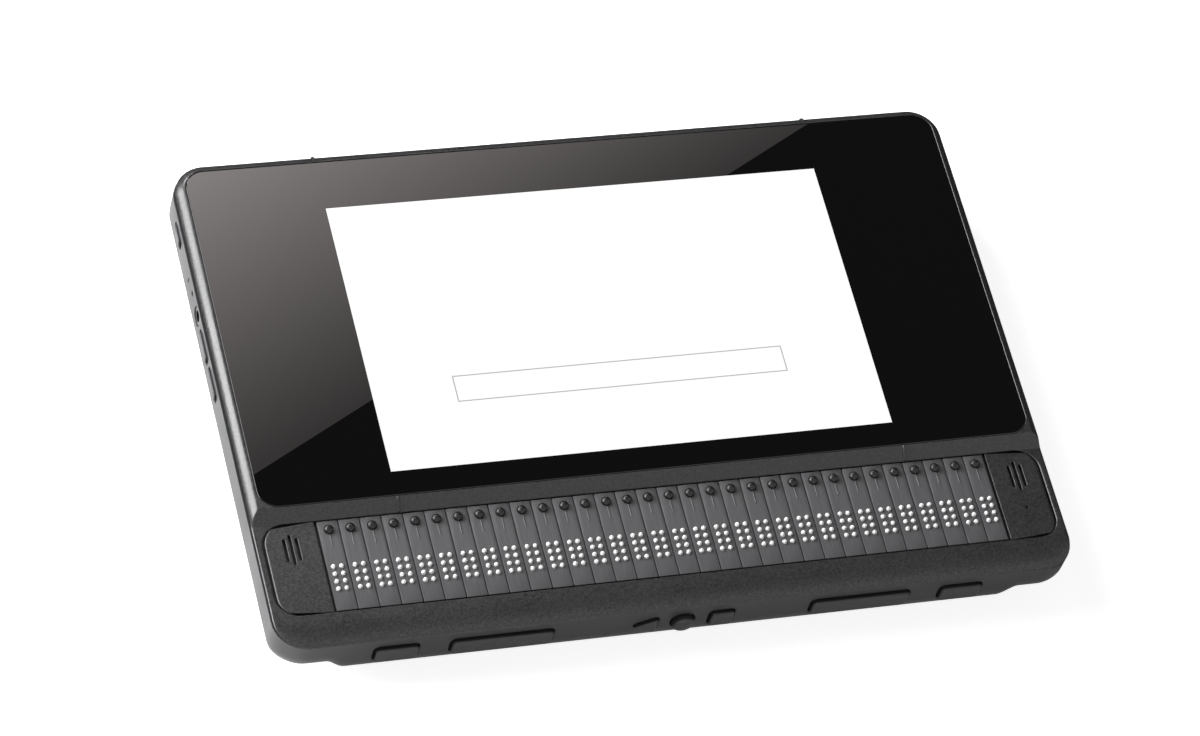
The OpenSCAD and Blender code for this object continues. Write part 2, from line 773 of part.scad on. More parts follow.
module left_speaker_panel() {
    color(cap_grey) speaker_panel(-1);
}

module right_speaker_panel() {
    color(cap_grey) speaker_panel(1);
}

// Two flat speakers, each with a sound opening under the slots
module speakers() {
    color([0.25, 0.25, 0.27]) for (sx = [-1, 1]) mirror([sx > 0 ? 0 : 1, 0, 0]) difference() {
        box([panel_x0 + speaker_inset, caps_y0 + speaker_end_in, speaker_z],
            [panel_x1 - speaker_inset, caps_y1 - speaker_end_in, panel_flange_z]);
        translate([slot_mid_x, slot_mid_y, panel_flange_z - speaker_mouth])
            linear_extrude(speaker_mouth + past)
                round_rect(2 * slot_pitch + slot_w, slot_l + slot_extra, speaker_mouth);
    }
}

module main_board() {
    color([0.08, 0.30, 0.16]) difference() {
        union() {
            box([-board_half_w, board_y0, board_low_z], [board_half_w, board_y1, board_top_z]);
            box([-board_half_w, volume_down_y - side_switch_w, board_low_z],
                [-board_half_w + key_strip_w, board_y1, board_top_z]);
            for (p = board_parts) translate([p[0], board_y0 + p[1], board_low_z])
                cube([p[2], p[3], board_t + p[4]]);
            for (k = side_keys)
                box([side_switch_x, k[0] - side_switch_w / 2, board_low_z + board_t / 2],
                    [-board_half_w + side_switch_in, k[0] + side_switch_w / 2,
                     side_key_z + side_switch_rise]);
            charging_socket();
        }
        for (p = board_posts) translate([p.x, p.y, board_low_z - past])
            cylinder(r = peg_r + peg_play, h = board_t + 2 * past);
    }
}

// A small flat socket at the right side: a metal sleeve with a tongue in it
module charging_socket() {
    x0 = half_w - wall - socket_depth;
    x1 = half_w - socket_set_back;
    inner_w = socket_w - 2 * socket_wall;
    inner_h = socket_h - 2 * socket_wall;
    tongue_half = [socket_w / 2 - socket_tongue_in, socket_tongue_t / 2];
    translate([0, socket_y, socket_z]) {
        difference() {
            along_x(x0, x1) round_rect(socket_w, socket_h, socket_r);
            along_x(x0 + socket_back_t, x1 + past) round_rect(inner_w, inner_h, socket_r - socket_wall);
        }
        box([x0, -tongue_half.x, -tongue_half.y], [x1 - socket_back_t, tongue_half.x, tongue_half.y]);
    }
    box([x0 - socket_back_t, socket_y - socket_w / 2, board_low_z + board_t / 2],
        [board_half_w, socket_y + socket_w / 2, board_top_z + socket_wall / 2]);
}

// The board behind the thumb keys, with a dome switch for each
module key_board() {
    color([0.08, 0.30, 0.16]) {
        box([-key_board_half_w, key_board_y, key_board_z],
            [key_board_half_w, key_board_y + board_t, key_board_z + key_board_h]);
        for (x = thumb_key_xs) translate([x, key_board_y + board_t / 2, key_z]) rotate([90, 0, 0])
            cylinder(r = switch_r, h = switch_h + board_t / 2);
    }
}

module headphone_jack() {
    color([0.10, 0.10, 0.10]) difference() {
        union() {
            box([-half_w + wall + seat_gap, jack_y - jack_body_w / 2, board_top_z],
                [-half_w + jack_depth + jack_back_t, jack_y + jack_body_w / 2, jack_z + jack_body_w / 2]);
            translate([-half_w + seat_gap, jack_y, jack_z]) rotate([0, 90, 0])
                cylinder(r = jack_nose_r, h = wall + past);
        }
        translate([-half_w + seat_gap - past, jack_y, jack_z]) rotate([0, 90, 0])
            cylinder(r = jack_r, h = jack_depth + past);
    }
}

module battery() {
    color([0.20, 0.22, 0.28]) translate([0, door_mid_y, door_top_z])
        linear_extrude(battery_h) round_rect(battery_w, battery_d, door_r);
}

// The battery door, with two tongues at the back and a snap hook at the front
module battery_door() {
    y0 = door_mid_y - door_half_d;
    y1 = door_mid_y + door_half_d;
    color(shell_grey) {
        translate([0, door_mid_y, belly_z]) linear_extrude(door_t)
            round_rect(2 * (door_half_w - door_gap), 2 * (door_half_d - door_gap), door_r - door_gap);
        for (sx = [-1, 1]) translate([sx * tongue_x - tongue_w / 2, y1 - tongue_root, 0]) {
            box([0, 0, belly_z + door_t / 2], [tongue_w, tongue_root - door_gap, tongue_z + tongue_t]);
            box([0, 0, tongue_z], [tongue_w, tongue_root + tongue_reach, tongue_z + tongue_t]);
        }
        translate([-hook_w / 2, y0 + hook_root, 0]) {
            box([0, door_gap - hook_root, belly_z + door_t / 2], [hook_w, 0, tongue_z + tongue_t]);
            box([0, -hook_root - hook_reach, tongue_z], [hook_w, 0, tongue_z + tongue_t]);
        }
    }
}

module rubber_feet() {
    color([0.07, 0.07, 0.07]) for (p = feet) translate([p.x, p.y, 0])
        cylinder(r = foot_r, h = belly_z + foot_seat);
}

// A pan-head screw with a cross slot, head down
module case_screw() {
    difference() {
        union() {
            translate([0, 0, screw_seat_z - head_h]) cylinder(r = head_r, h = head_h);
            translate([0, 0, screw_seat_z - head_h / 2]) cylinder(r = screw_r, h = screw_l + head_h / 2);
        }
        for (a = [0, 90]) rotate(a) translate([-drive_l / 2, -drive_w / 2, screw_seat_z - head_h - past])
            cube([drive_l, drive_w, past + drive_depth]);
    }
}

module case_screws() {
    color("silver") for (p = screws) translate([p.x, p.y, 0]) case_screw();
}

// A thumb key: its outline drawn out to the front, on a flange behind the wall
module thumb_key(x, width) {
    flange_w = width + 2 * (key_gap + flange_reach);
    color(shell_grey) translate([x, 0, key_z]) {
        along_y(front_y - key_proud, key_back_y) children();
        box([-flange_w / 2, key_flange_y, -key_h / 2], [flange_w / 2, key_back_y, key_h / 2]);
    }
}

module left_short_key() {
    thumb_key(-short_key_x, short_key_w) short_key_outline(0);
}

module left_long_key() {
    thumb_key(-long_key_x, long_key_w) long_key_outline(0);
}

module triangle_key() {
    thumb_key(-small_key_x, triangle_key_w) triangle_key_outline(0);
}

// The round key's dome is an ellipse turned about the key's axis
module round_key() {
    thumb_key(0, 2 * round_key_r) round_key_outline(0);
    color(shell_grey) translate([0, front_y - key_proud, key_z]) rotate([90, 0, 0])
        rotate_extrude() polygon(concat([[0, -skin], [round_key_r, -skin]],
            [for (a = [0:15:75]) [round_key_r * cos(a), round_key_dome * sin(a)]],
            [[0, round_key_dome]]));
}

module square_key() {
    thumb_key(small_key_x, square_key_w) square_key_outline(0);
}

module right_long_key() {
    thumb_key(long_key_x, long_key_w) long_key_outline(0);
}

module right_short_key() {
    thumb_key(short_key_x, short_key_w) short_key_outline(0);
}

// A side key: a bar through the wall, on a flange inside it
module side_key(y, length) {
    flange_l = length + 2 * (side_key_end_gap + side_flange_reach);
    flange_h = side_key_h + 2 * (side_key_gap + side_flange_reach);
    color(shell_grey) translate([0, y, side_key_z]) {
        along_x(-half_w - side_key_proud, side_flange_x + side_flange_t)
            round_rect(length, side_key_h, side_key_corner_r);
        along_x(side_flange_x, side_flange_x + side_flange_t) square([flange_l, flange_h], center = true);
    }
}

module power_key() {
    side_key(power_y, power_key_l);
}

module volume_up_key() {
    side_key(volume_up_y, volume_key_l);
}

module volume_down_key() {
    side_key(volume_down_y, volume_key_l);
}

// A routing button: a dome on a stem, held by a flange under the cap
module routing_button(i) {
    flange_low_z = button_flange_z - button_flange_t;
    dome = routing_rise - button_straight;
    color(button_black) translate([cell_x(i), button_y, 0]) rotate_extrude() polygon(concat(
        [[0, flange_low_z], [button_flange_r, flange_low_z], [button_flange_r, button_flange_z],
         [routing_r, button_flange_z]],
        [for (a = [0:15:75]) [routing_r * cos(a), cap_z + button_straight + dome * sin(a)]],
        [[0, cap_z + routing_rise]]));
}

lower_shell();
top_cover();
screen_glass();
lcd_panel();
cell_caps();
braille_cells();
text_pins();
cursor_pins();
left_speaker_panel();
right_speaker_panel();
speakers();
main_board();
key_board();
headphone_jack();
battery();
battery_door();
rubber_feet();
case_screws();
left_short_key();
left_long_key();
triangle_key();
round_key();
square_key();
right_long_key();
right_short_key();
power_key();
volume_up_key();
volume_down_key();
for (i = [1:cells]) routing_button(i);
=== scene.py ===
"""Dresses the solids of a braille notetaker with smooth shells, rounded keys, finishes and studio light.

Sizes in the code are in millimetres and turn to metres when a mesh is made. X runs to the reader's
right, Y to the back and Z up from the table.
"""

import math

import bpy
import numpy as np
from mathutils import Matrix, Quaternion, Vector


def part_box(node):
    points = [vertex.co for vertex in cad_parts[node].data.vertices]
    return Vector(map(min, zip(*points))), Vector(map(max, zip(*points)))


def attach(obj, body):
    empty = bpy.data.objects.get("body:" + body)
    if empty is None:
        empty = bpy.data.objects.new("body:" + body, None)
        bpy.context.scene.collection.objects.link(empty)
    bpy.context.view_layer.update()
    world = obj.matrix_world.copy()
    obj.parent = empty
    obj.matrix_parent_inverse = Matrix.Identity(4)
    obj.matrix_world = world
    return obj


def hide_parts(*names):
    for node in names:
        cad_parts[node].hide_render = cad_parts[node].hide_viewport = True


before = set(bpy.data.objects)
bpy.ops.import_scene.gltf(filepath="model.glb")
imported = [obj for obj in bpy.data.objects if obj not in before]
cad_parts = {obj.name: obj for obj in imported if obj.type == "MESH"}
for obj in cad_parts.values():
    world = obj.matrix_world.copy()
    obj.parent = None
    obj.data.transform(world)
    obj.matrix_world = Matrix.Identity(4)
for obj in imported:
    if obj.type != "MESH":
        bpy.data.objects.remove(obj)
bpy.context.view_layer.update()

bl_info = {
    "name": "Braille notetaker dresser",
    "version": (1, 0, 0),
    "blender": (4, 5, 0),
    "location": "3D View > Sidebar > Notetaker",
    "description": "Builds the visible pieces of a braille notetaker round its solids",
    "category": "Object",
}

MM = 0.001
CHASSIS = "chassis"


def cad(node):
    """Lowest and highest corner of a solid, in millimetres."""
    return [np.array(corner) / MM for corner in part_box(node)]


# Places taken from the solids
SHELL_LOW, SHELL_HIGH = cad("lower_shell")
GLASS_LOW, GLASS_HIGH = cad("screen_glass")
LCD_LOW, LCD_HIGH = cad("lcd_panel")
CAPS_LOW, CAPS_HIGH = cad("cell_caps")
PINS_LOW, PINS_HIGH = cad("text_pins")
PANEL_LOW, PANEL_HIGH = cad("right_speaker_panel")
DOOR_LOW, DOOR_HIGH = cad("battery_door")
FEET_LOW, FEET_HIGH = cad("rubber_feet")
SCREWS_LOW, SCREWS_HIGH = cad("case_screws")
JACK_LOW, JACK_HIGH = cad("headphone_jack")
HALF_W, BACK_Y, PART_Z = SHELL_HIGH
FRONT_Y, BELLY_Z = SHELL_LOW[1:]
TOP_Z = GLASS_HIGH[2]
DECK_Z = PANEL_HIGH[2]
CAPS_MID_Y = (CAPS_LOW[1] + CAPS_HIGH[1]) / 2
CAPS_HALF_Y = (CAPS_HIGH[1] - CAPS_LOW[1]) / 2
BUTTONS = sorted(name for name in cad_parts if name.startswith("routing_button_"))
CELL_XS = np.array([sum(cad(name))[0] / 2 for name in BUTTONS])
BUTTON_Y = sum(cad(BUTTONS[0]))[1] / 2
THUMB_KEYS = ["left_short_key", "left_long_key", "triangle_key", "round_key", "square_key",
              "right_long_key", "right_short_key"]
SIDE_KEYS = ["power_key", "volume_up_key", "volume_down_key"]

# Thumb keys: gap in the opening, how much prouder than the solid, and the solid's flange
KEY_GAP = 0.4
KEY_GROW = 0.4
KEY_FLANGE = 1.6
KEY_FLANGE_T = 1.2
KEY_CORNER_R = {"square_key": 0.8}
KEY_CORNER_R_REST = 1.2
TRIANGLE_CORNER_R = 0.6
# Round key: how much smaller in radius and prouder, and its dome
ROUND_KEY_EASE = 0.5
ROUND_KEY_RISE = 0.6
ROUND_KEY_DOME = 1.1
# Side keys: flange and gap along and across the key
SIDE_KEY_FLANGE = (1.3, 0.75)
SIDE_KEY_FLANGE_T = 1.0
SIDE_KEY_GAP = (0.8, 0.25)
SIDE_KEY_R = 1.0
SIDE_KEY_EDGE = 0.35
# Lower shell: walls, floor, screw bosses, and the thin rim in front of the groove under the cover
FRONT_WALL = 2.6
SIDE_WALL = 2.0
FLOOR_T = 1.8
BOSS_R = 4.0
BOSS_Z = 12.5
RIM_T = 0.2
REBATE = 2.1
# Holes in the side walls: half size, corner radius, lip, place back and up from the jack, and arc steps
JACK_AXIS_DROP = 3.3
JACK_HOLE = ((3.05, 3.05), 3.05, 0.2, (0.0, 0.0), 10)
MICROPHONE_HOLE = ((0.85, 0.85), 0.85, 0.2, (7.6, 0.6), 10)
SLIT = ((0.3, 1.2), 0.15, 0.1, (12.8, -0.2), 6)
CHARGING_HOLE = ((4.85, 1.95), 1.75, 0.3, (0.0, -1.4), 6)
SIDE_KEY_LIP = 0.2
# Underside: screws with their wells, feet and battery door
SCREW_HEAD_R = 2.2
SCREW_L = 10.0
SCREW_INNER_X = 40.0
WELL_R = 2.5
SCREW_HOLE_R = 1.45
FOOT_R = 6.0
FOOT_SEAT = 0.5
DOOR_TONGUE = 1.5
DOOR_HOOK = 3.0
DOOR_GAP = 0.3
DOOR_R = 2.7
DOOR_T = 1.6
# Top cover: how far it lies in from the shell, the power of its round rail, and its openings
COVER_INSET = 0.35
RAIL_POWER = 1.35
SEAM = 0.3
SMALL_LIP = 0.08
GLASS_R = 6.0
GLASS_GAP = 0.25
GLASS_GROW = 0.12
GLASS_CHAMFER = 0.1
LCD_GAP = 0.3
# Cell caps with their guide ribs and holes, dots and routing buttons
CAP_T = 1.5
CAP_GAP = 0.3
CAP_Z = CAPS_LOW[2] + CAP_T
CAP_R = 0.2
CAPS_FRONT_EASE = 0.25
RIB_HALF = (0.15, 2.1)
RIB_TO_BUTTON = 1.55
DOT_HOLE_R = 0.8
BUTTON_HOLE_R = 1.5
DOT_PITCH = 2.45
DOT_ROWS = {"text_pins": (-0.5, 0.5, 1.5), "cursor_pins": (-1.5,)}
DOT_SOLID_R = 0.75
DOT_R = 0.69
DOT_STRAIGHT = 0.2
DOTS_Y = PINS_LOW[1] + DOT_SOLID_R + 0.5 * DOT_PITCH
BUTTON_FLANGE = 0.45
BUTTON_FLANGE_T = 0.6
BUTTON_GROW = 0.3
# Speaker panels: how much larger than the solid outwards and to the back, groove, slots and the light's hole
PANEL_T = 1.5
PANEL_R = 6.5
PANEL_INNER_R = 0.6
PANEL_GROOVE = 0.5
PANEL_GROW = (-0.45, 0.2)
PANEL_FLANGE_INSET = 7.5
PANEL_FLANGE_W = 8.48
SLOT_PITCH = 1.85
SLOT_W = 0.9
SLOT_L = 7.5
SLOT_EXTRA = 2.5
SLOT_BACK = 10.4
SLOT_LIP = 0.18
SLOT_DEPTH = 4.0
LIGHT_HOLE_FRONT = 0.6
LIGHT_HOLE_R = 0.4
# How far a cutter runs past a face, and a length that only keeps points apart
PAST = 1.0
TIP = 0.02
# Edges over this angle stay sharp, in degrees
SHARP = 32.0

# Rows that turn a profile drawn in X, Y and height to the side that it faces
TOP = np.eye(3)
UNDER = np.array([[1, 0, 0], [0, -1, 0], [0, 0, -1.0]])
FRONT = np.array([[1, 0, 0], [0, 0, 1], [0, -1, 0.0]])
LEFT = np.array([[0, -1, 0], [0, 0, 1], [-1, 0, 0.0]])
RIGHT = np.array([[0, 1, 0], [0, 0, 1], [1, 0, 0.0]])


# Values that a user may change

def linear(code):
    """Linear colour from an sRGB hex code."""
    channel = np.array([int(code[i:i + 2], 16) for i in (1, 3, 5)]) / 255
    return tuple(np.where(channel <= 0.04045, channel / 12.92, ((channel + 0.055) / 1.055) ** 2.4))


def size(name, millimetres, description):
    """A length that the panel shows, given in millimetres."""
    return bpy.props.FloatProperty(name=name, description=description, default=millimetres * MM, min=0.0,
                                   precision=5, subtype="DISTANCE", unit="LENGTH")


def tint(name, code, description):
    """A colour that the panel shows, given as an sRGB hex code."""
    return bpy.props.FloatVectorProperty(name=name, description=description, default=linear(code),
                                         min=0.0, max=1.0, size=3, subtype="COLOR")


class CaseSizes(bpy.types.PropertyGroup):
    """Forms of the two shells."""

    corner_r: size("Corner radius", 10, "Radius of the outline's corners")
    front_r: size("Front edge", 10, "Radius of the bottom edge along the front")
    side_r: size("Side edge", 7, "Radius of the bottom edge along the sides and the back")
    belly_half_w: size("Belly half width", 100, "Half the width of the belly's flat bottom")
    belly_ramp: size("Belly ramp", 6, "Run of the ramp at each end of the belly")
    belly_drop: size("Belly drop", 4, "Depth of the belly below the two ends")
    parting_gap: size("Parting gap", 0.95, "Height of the line between the shells beside the deck")
    frame_gap: size("Frame gap", 2.1, "Height of the line between the shells beside the screen")
    front_gap: size("Front parting gap", 0.05, "Height of the line between the shells along the front")
    rail_w: size("Rail width", 2.6, "Width of the round rail round the screen")
    deck_edge: size("Deck edge", 0.9, "Reach of the deck's rounded side edges")
    deck_roll: size("Deck roll", 8, "Reach of the deck's roll to its front edge")
    slope_run: size("Slope run", 3.7, "Run of the slope between the deck and the glass")
    ease: size("Ease", 0.3, "Softness of the edges where two faces of the cover meet")
    lip_r: size("Opening lip", 0.55, "Radius of the deck's lips beside the speaker panels")


class DetailSizes(bpy.types.PropertyGroup):
    """Edges of the small pieces."""

    key_lip: size("Key lip", 0.7, "Radius of the lip of a thumb key's opening")
    key_edge: size("Key edge", 0.5, "Radius of a thumb key's front edge")
    panel_edge: size("Panel edge", 1.3, "Width of a speaker panel's rounded outer edge")
    cap_edge: size("Cap edge", 0.12, "Radius of a cell cap's upper edge")
    glass_edge: size("Glass edge", 0.3, "Width of the ground edge of the glass")
    foot_edge: size("Foot edge", 0.5, "Radius of a foot's lower edge")


class Colours(bpy.types.PropertyGroup):
    """Colours of the pieces that show."""

    shell: tint("Lower shell", "#2c2c2e", "Charcoal plastic of the lower shell")
    cover: tint("Top cover", "#2a2a2b", "Charcoal plastic of the deck and the frame")
    cap: tint("Cell caps", "#545456", "Grey plastic of the cell caps")
    panel: tint("Speaker panels", "#2c2c2d", "Grey plastic of the speaker panels")
    key: tint("Keys", "#2c2c2e", "Plastic of the thumb and side keys")
    button: tint("Routing buttons", "#0c0c0d", "Black plastic of the routing buttons")
    pin: tint("Dot pins", "#f4f4f2", "White plastic of the dot pins")
    glass: tint("Glass border", "#020202", "Black print behind the glass")
    floor: tint("Floor", "#f2f2f2", "Pale studio floor")


def lengths(group):
    """The sizes of a property group in millimetres, by name."""
    return {key: getattr(group, key) / MM for key in group.__annotations__}


# Shapes

def smooth(t):
    """Eased step: 3 t squared less 2 t cubed, held between 0 and 1."""
    t = np.clip(t, 0, 1)
    return t * t * (3 - 2 * t)


def quarter(t, power=2.0):
    """Rounded rise from 0, upright, to 1, level, as t goes from 0 to 1: a quarter circle at power 2.

    A point keeps (1 - t) ** power + rise ** power at 1, so a lesser power gives a flatter middle.
    """
    return (1 - (1 - np.clip(t, 0, 1)) ** power) ** (1 / power)


def soft_min(a, b, ease):
    """Lesser of two heights, rounded over where they are within ease of each other."""
    near = np.clip(1 - np.abs(a - b) / ease, 0, 1)
    return np.minimum(a, b) - near * near * ease / 4


def quarter_turn(steps):
    """Angles from 0 to 90 degrees in equal steps, in radians."""
    return np.linspace(0, np.pi / 2, steps + 1)


def outline(corners, steps=6):
    """Outline round a convex polygon: each corner is an arc centre, given anticlockwise.

    Each arc turns from the outward normal of the edge before its corner to that of the edge after it.
    Gives, for each point, its arc centre and outward normal, so that centre + r * normal is the outline
    at radius r.
    """
    corners = np.asarray(corners, float)
    edges = np.roll(corners, -1, axis=0) - corners
    after = np.arctan2(-edges[:, 0], edges[:, 1])
    before = np.roll(after, 1)
    turn = (after - before) % (2 * np.pi)
    angle = before[:, None] + turn[:, None] * np.linspace(0, 1, steps + 1)
    centre = np.repeat(corners[:, None], steps + 1, axis=1)
    return centre.reshape(-1, 2), np.stack([np.cos(angle), np.sin(angle)], axis=-1).reshape(-1, 2)


def round_rect(half_x, half_y, r, steps=6):
    """Outline of a rectangle whose corners have radius r."""
    x = max(half_x - r, MM)
    y = max(half_y - r, MM)
    return outline([(x, -y), (x, y), (-x, y), (-x, -y)], steps)


def circle(r, steps):
    """Outline of a circle with the given steps in each quarter."""
    return round_rect(r, r, r, steps)


def carried(path, radii, heights, axes=TOP, place=(0, 0, 0)):
    """A profile carried round an outline: ring k lies at radii[k] from the arc centres, at heights[k].

    Either may also be given for each point of each ring.
    """
    centre, normal = path
    radii = np.asarray(radii, float)
    radii = radii.reshape(len(radii), -1)
    flat = centre + radii[:, :, None] * normal
    heights = np.asarray(heights, float).reshape(len(radii), -1, 1)
    tall = np.broadcast_to(heights, flat.shape[:2] + (1,))
    return np.concatenate([flat, tall], axis=-1) @ axes + np.asarray(place, float)


def block(half, r, low, high, axes=TOP, place=(0, 0, 0), steps=3):
    """A rectangle with round corners, carried straight from low to high."""
    return carried(round_rect(*half, r, steps), [r, r], [low, high], axes, place)


def eased(r, low, high, edge, steps=5):
    """Profile of an upright wall at radius r with a quarter round at its upper edge."""
    a = quarter_turn(steps)
    return np.append(r, r - edge * (1 - np.cos(a))), np.append(low, high - edge * (1 - np.sin(a)))


def flared(r, lip, deep):
    """Profile of a cutter for an opening at radius r: from deep inside out to a round lip at height 0."""
    a = quarter_turn(5)[1:]
    radii = np.concatenate([[r, r], r + lip * (1 - np.cos(a)), [r + lip + PAST]])
    heights = np.concatenate([[-deep, -lip], lip * (np.sin(a) - 1), [PAST]])
    return radii, heights


def opening(half, r, lip, deep, axes, place, steps=6):
    """A cutter for an opening with round corners and a round lip, let in at a place."""
    return carried(round_rect(*half, r, steps), *flared(r, lip, deep), axes, place)


def ring_faces(rings, first=0):
    """Quads between neighbouring closed rings, and one face over the first and the last ring."""
    count, around = rings.shape[:2]
    index = first + np.arange(count * around).reshape(count, around)
    after = np.roll(index, -1, axis=1)
    quads = np.stack([index[:-1], after[:-1], after[1:], index[1:]], axis=-1).reshape(-1, 4)
    return [quads, index[:1, ::-1], index[-1:]]


def soften(mesh, sharp):
    """Shades a mesh smooth, with edges over the given angle left sharp."""
    mesh.shade_smooth()
    mesh.set_sharp_from_angle(angle=math.radians(sharp))


def mesh_object(name, points, faces, sharp=SHARP):
    """A mesh at the origin: points in millimetres, and arrays of faces with one row of corners each."""
    mesh = bpy.data.meshes.new(name)
    corners = np.concatenate([f.ravel() for f in faces]).astype(np.int32)
    counts = np.concatenate([np.full(len(f), f.shape[1]) for f in faces])
    starts = np.concatenate([[0], np.cumsum(counts)[:-1]]).astype(np.int32)
    mesh.vertices.add(len(points))
    mesh.vertices.foreach_set("co", (np.asarray(points) * MM).astype(np.float32).ravel())
    mesh.loops.add(len(corners))
    mesh.loops.foreach_set("vertex_index", corners)
    mesh.polygons.add(len(counts))
    mesh.polygons.foreach_set("loop_start", starts)
    mesh.update(calc_edges=True)
    soften(mesh, sharp)
    made = bpy.data.objects.new(name, mesh)
    bpy.context.scene.collection.objects.link(made)
    return made


def solids(name, stacks, sharp=SHARP):
    """One object from several stacks of rings, each a closed solid."""
    first = np.cumsum([0] + [rings.shape[0] * rings.shape[1] for rings in stacks])
    faces = [f for rings, start in zip(stacks, first) for f in ring_faces(rings, start)]
    return mesh_object(name, np.concatenate([rings.reshape(-1, 3) for rings in stacks]), faces, sharp)


def copies(points, faces, places):
    """Points and faces of one shape, repeated at each place."""
    moved = points[None] + np.asarray(places)[:, None]
    shift = np.arange(len(places)) * len(points)
    return moved.reshape(-1, 3), [(f[None] + shift[:, None, None]).reshape(-1, f.shape[1]) for f in faces]


def carve(piece, tool, operation):
    """Takes a tool out of a piece, or adds it, for good, and removes the tool."""
    modifier = piece.modifiers.new("carve", "BOOLEAN")
    modifier.object = tool
    modifier.operation = operation
    modifier.solver = "EXACT"
    graph = bpy.context.evaluated_depsgraph_get()
    carved = bpy.data.meshes.new_from_object(piece.evaluated_get(graph))
    piece.modifiers.clear()
    left_over = [piece.data, tool.data]
    piece.data = carved
    bpy.data.objects.remove(tool)
    for mesh in left_over:
        bpy.data.meshes.remove(mesh)
    soften(carved, SHARP)


def cut(piece, stacks):
    """Takes stacks of rings out of a piece."""
    carve(piece, solids("cutter", stacks), "DIFFERENCE")


def join(piece, stacks):
    """Makes stacks of rings one with a piece."""
    carve(piece, solids("addition", stacks), "UNION")


def flat_faces_first(piece):
    """Lets large flat faces set the shading at their rims, so that cut openings leave no stains."""
    modifier = piece.modifiers.new("shading", "WEIGHTED_NORMAL")
    modifier.keep_sharp = True


def dress(piece, finish, slot, body, *nodes):
    """Gives a piece its finish and has it stand for solids on a body."""
    piece.data.materials.clear()
    piece.data.materials.append(finish)
    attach(piece, body)
    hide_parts(*nodes)


# The lower shell

def case_path(arc_steps=16):
    """Directions round the case, anticlockwise: shares of its straight half lengths, and normals.

    A point lies at share * (half size less r) + r * normal. The front and back edges have closely set
    points where the belly's ramps cross them.
    """
    ramp = np.linspace(0.87, 0.995, 20)
    middle = np.linspace(-0.85, 0.85, 27)
    along_x = np.concatenate([-ramp[::-1], middle, ramp])
    along_y = np.linspace(-0.96, 0.96, 25)
    share, normal = [], []
    edges = [(1, along_y, 0), (along_x[::-1], 1, 90), (-1, along_y[::-1], 180), (along_x, -1, 270)]
    corner = [(1, -1), (1, 1), (-1, 1), (-1, -1)]
    for (x, y), (edge_x, edge_y, facing) in zip(corner, edges):
        a = np.radians(facing - 90) + quarter_turn(arc_steps)
        share += [np.broadcast_to((x, y), (len(a), 2)), np.stack(np.broadcast_arrays(edge_x, edge_y), -1)]
        way = np.round([np.cos(np.radians(facing)), np.sin(np.radians(facing))])
        normal += [np.stack([np.cos(a), np.sin(a)], -1), np.broadcast_to(way, share[-1].shape)]
    return np.concatenate(share).astype(float), np.concatenate(normal)


def case_ring(path, inset, r):
    """The case's outline drawn in by an inset, which may differ from point to point."""
    share, normal = path
    inset = np.broadcast_to(inset, len(share))
    corner = np.maximum(r - inset, TIP)[:, None]
    half = np.array([HALF_W, BACK_Y]) - inset[:, None]
    return share * (half - corner) + corner * normal


def belly_height(x, s):
    """Height of the underside: the belly, an eased ramp and the shallower ends."""
    return BELLY_Z + s["belly_drop"] * smooth((np.abs(x) - s["belly_half_w"]) / s["belly_ramp"])


def shell_rings(s, inside):
    """The lower shell's outside or inside as rings, from the middle of its underside out and up its wall.

    Where the wall turns under, a ring at angle a lies R (1 - cos a) in from the wall and R (1 - sin a)
    above the underside. R is the front edge's radius along the front and eases to the side edge's in
    the corners. The inside lies in by the wall's thickness, and higher by the floor's. Below the parting
    line it widens, so that the line opens on a dark groove behind a thin rim.
    """
    path = case_path()
    facing_front = smooth(-path[1][:, 1])
    wall = (SIDE_WALL + (FRONT_WALL - SIDE_WALL) * facing_front) * inside
    edge_r = s["side_r"] + (s["front_r"] - s["side_r"]) * facing_front - wall
    middle_inset, ramp_inset = 24.0, 13.0
    rim_r = 0.08
    rings = []

    def ring(inset, height, on_belly=True):
        flat = case_ring(path, inset, s["corner_r"])
        base = belly_height(flat[:, 0], s) + FLOOR_T * inside if on_belly else 0
        rings.append(np.column_stack([flat, np.broadcast_to(base + height, len(flat))]))

    for inset in np.linspace(middle_inset, ramp_inset, 18):
        ring(inset, 0)
    for t in (0.4, 0.75):
        ring(ramp_inset + (wall + edge_r - ramp_inset) * t, 0)
    for a in quarter_turn(14)[::-1]:
        ring(wall + edge_r * (1 - np.cos(a)), edge_r * (1 - np.sin(a)))
    foot = rings[-1][:, 2]
    top = PART_Z - (REBATE if inside else rim_r)
    for t in (0.3, 0.6, 0.85, 1.0):
        ring(wall, foot + (top - foot) * t, False)
    if inside:
        ring(RIM_T, top, False)
        ring(RIM_T, PART_Z + PAST, False)
    else:
        for a in quarter_turn(4)[1:]:
            ring(rim_r * (1 - np.cos(a)), PART_Z - rim_r * (1 - np.sin(a)), False)
    return np.array(rings)


def key_shape(name):
    """A thumb key's outline, its corner radius and its place: the middle of its front face."""
    low, high = cad(name)
    place = np.array([(low[0] + high[0]) / 2, low[1] - KEY_GROW, (low[2] + high[2]) / 2])
    half_x = (high[0] - low[0]) / 2 - KEY_FLANGE
    half_z = (high[2] - low[2]) / 2
    if name == "round_key":
        r = half_x - ROUND_KEY_EASE
        place[1] -= ROUND_KEY_RISE
        path = circle(r, 16)
    elif name == "triangle_key":
        r = TRIANGLE_CORNER_R
        tips = np.array([(-half_x, 0), (half_x, -half_z), (half_x, half_z)])
        slant = math.hypot(2 * half_x, half_z)
        in_r = 2 * half_x * half_z / (half_z + slant)
        middle = np.array([half_x - in_r, 0])
        path = outline(middle + (tips - middle) * (in_r - r) / in_r)
    else:
        r = KEY_CORNER_R.get(name, KEY_CORNER_R_REST)
        path = round_rect(half_x, half_z, r)
    return path, r, place


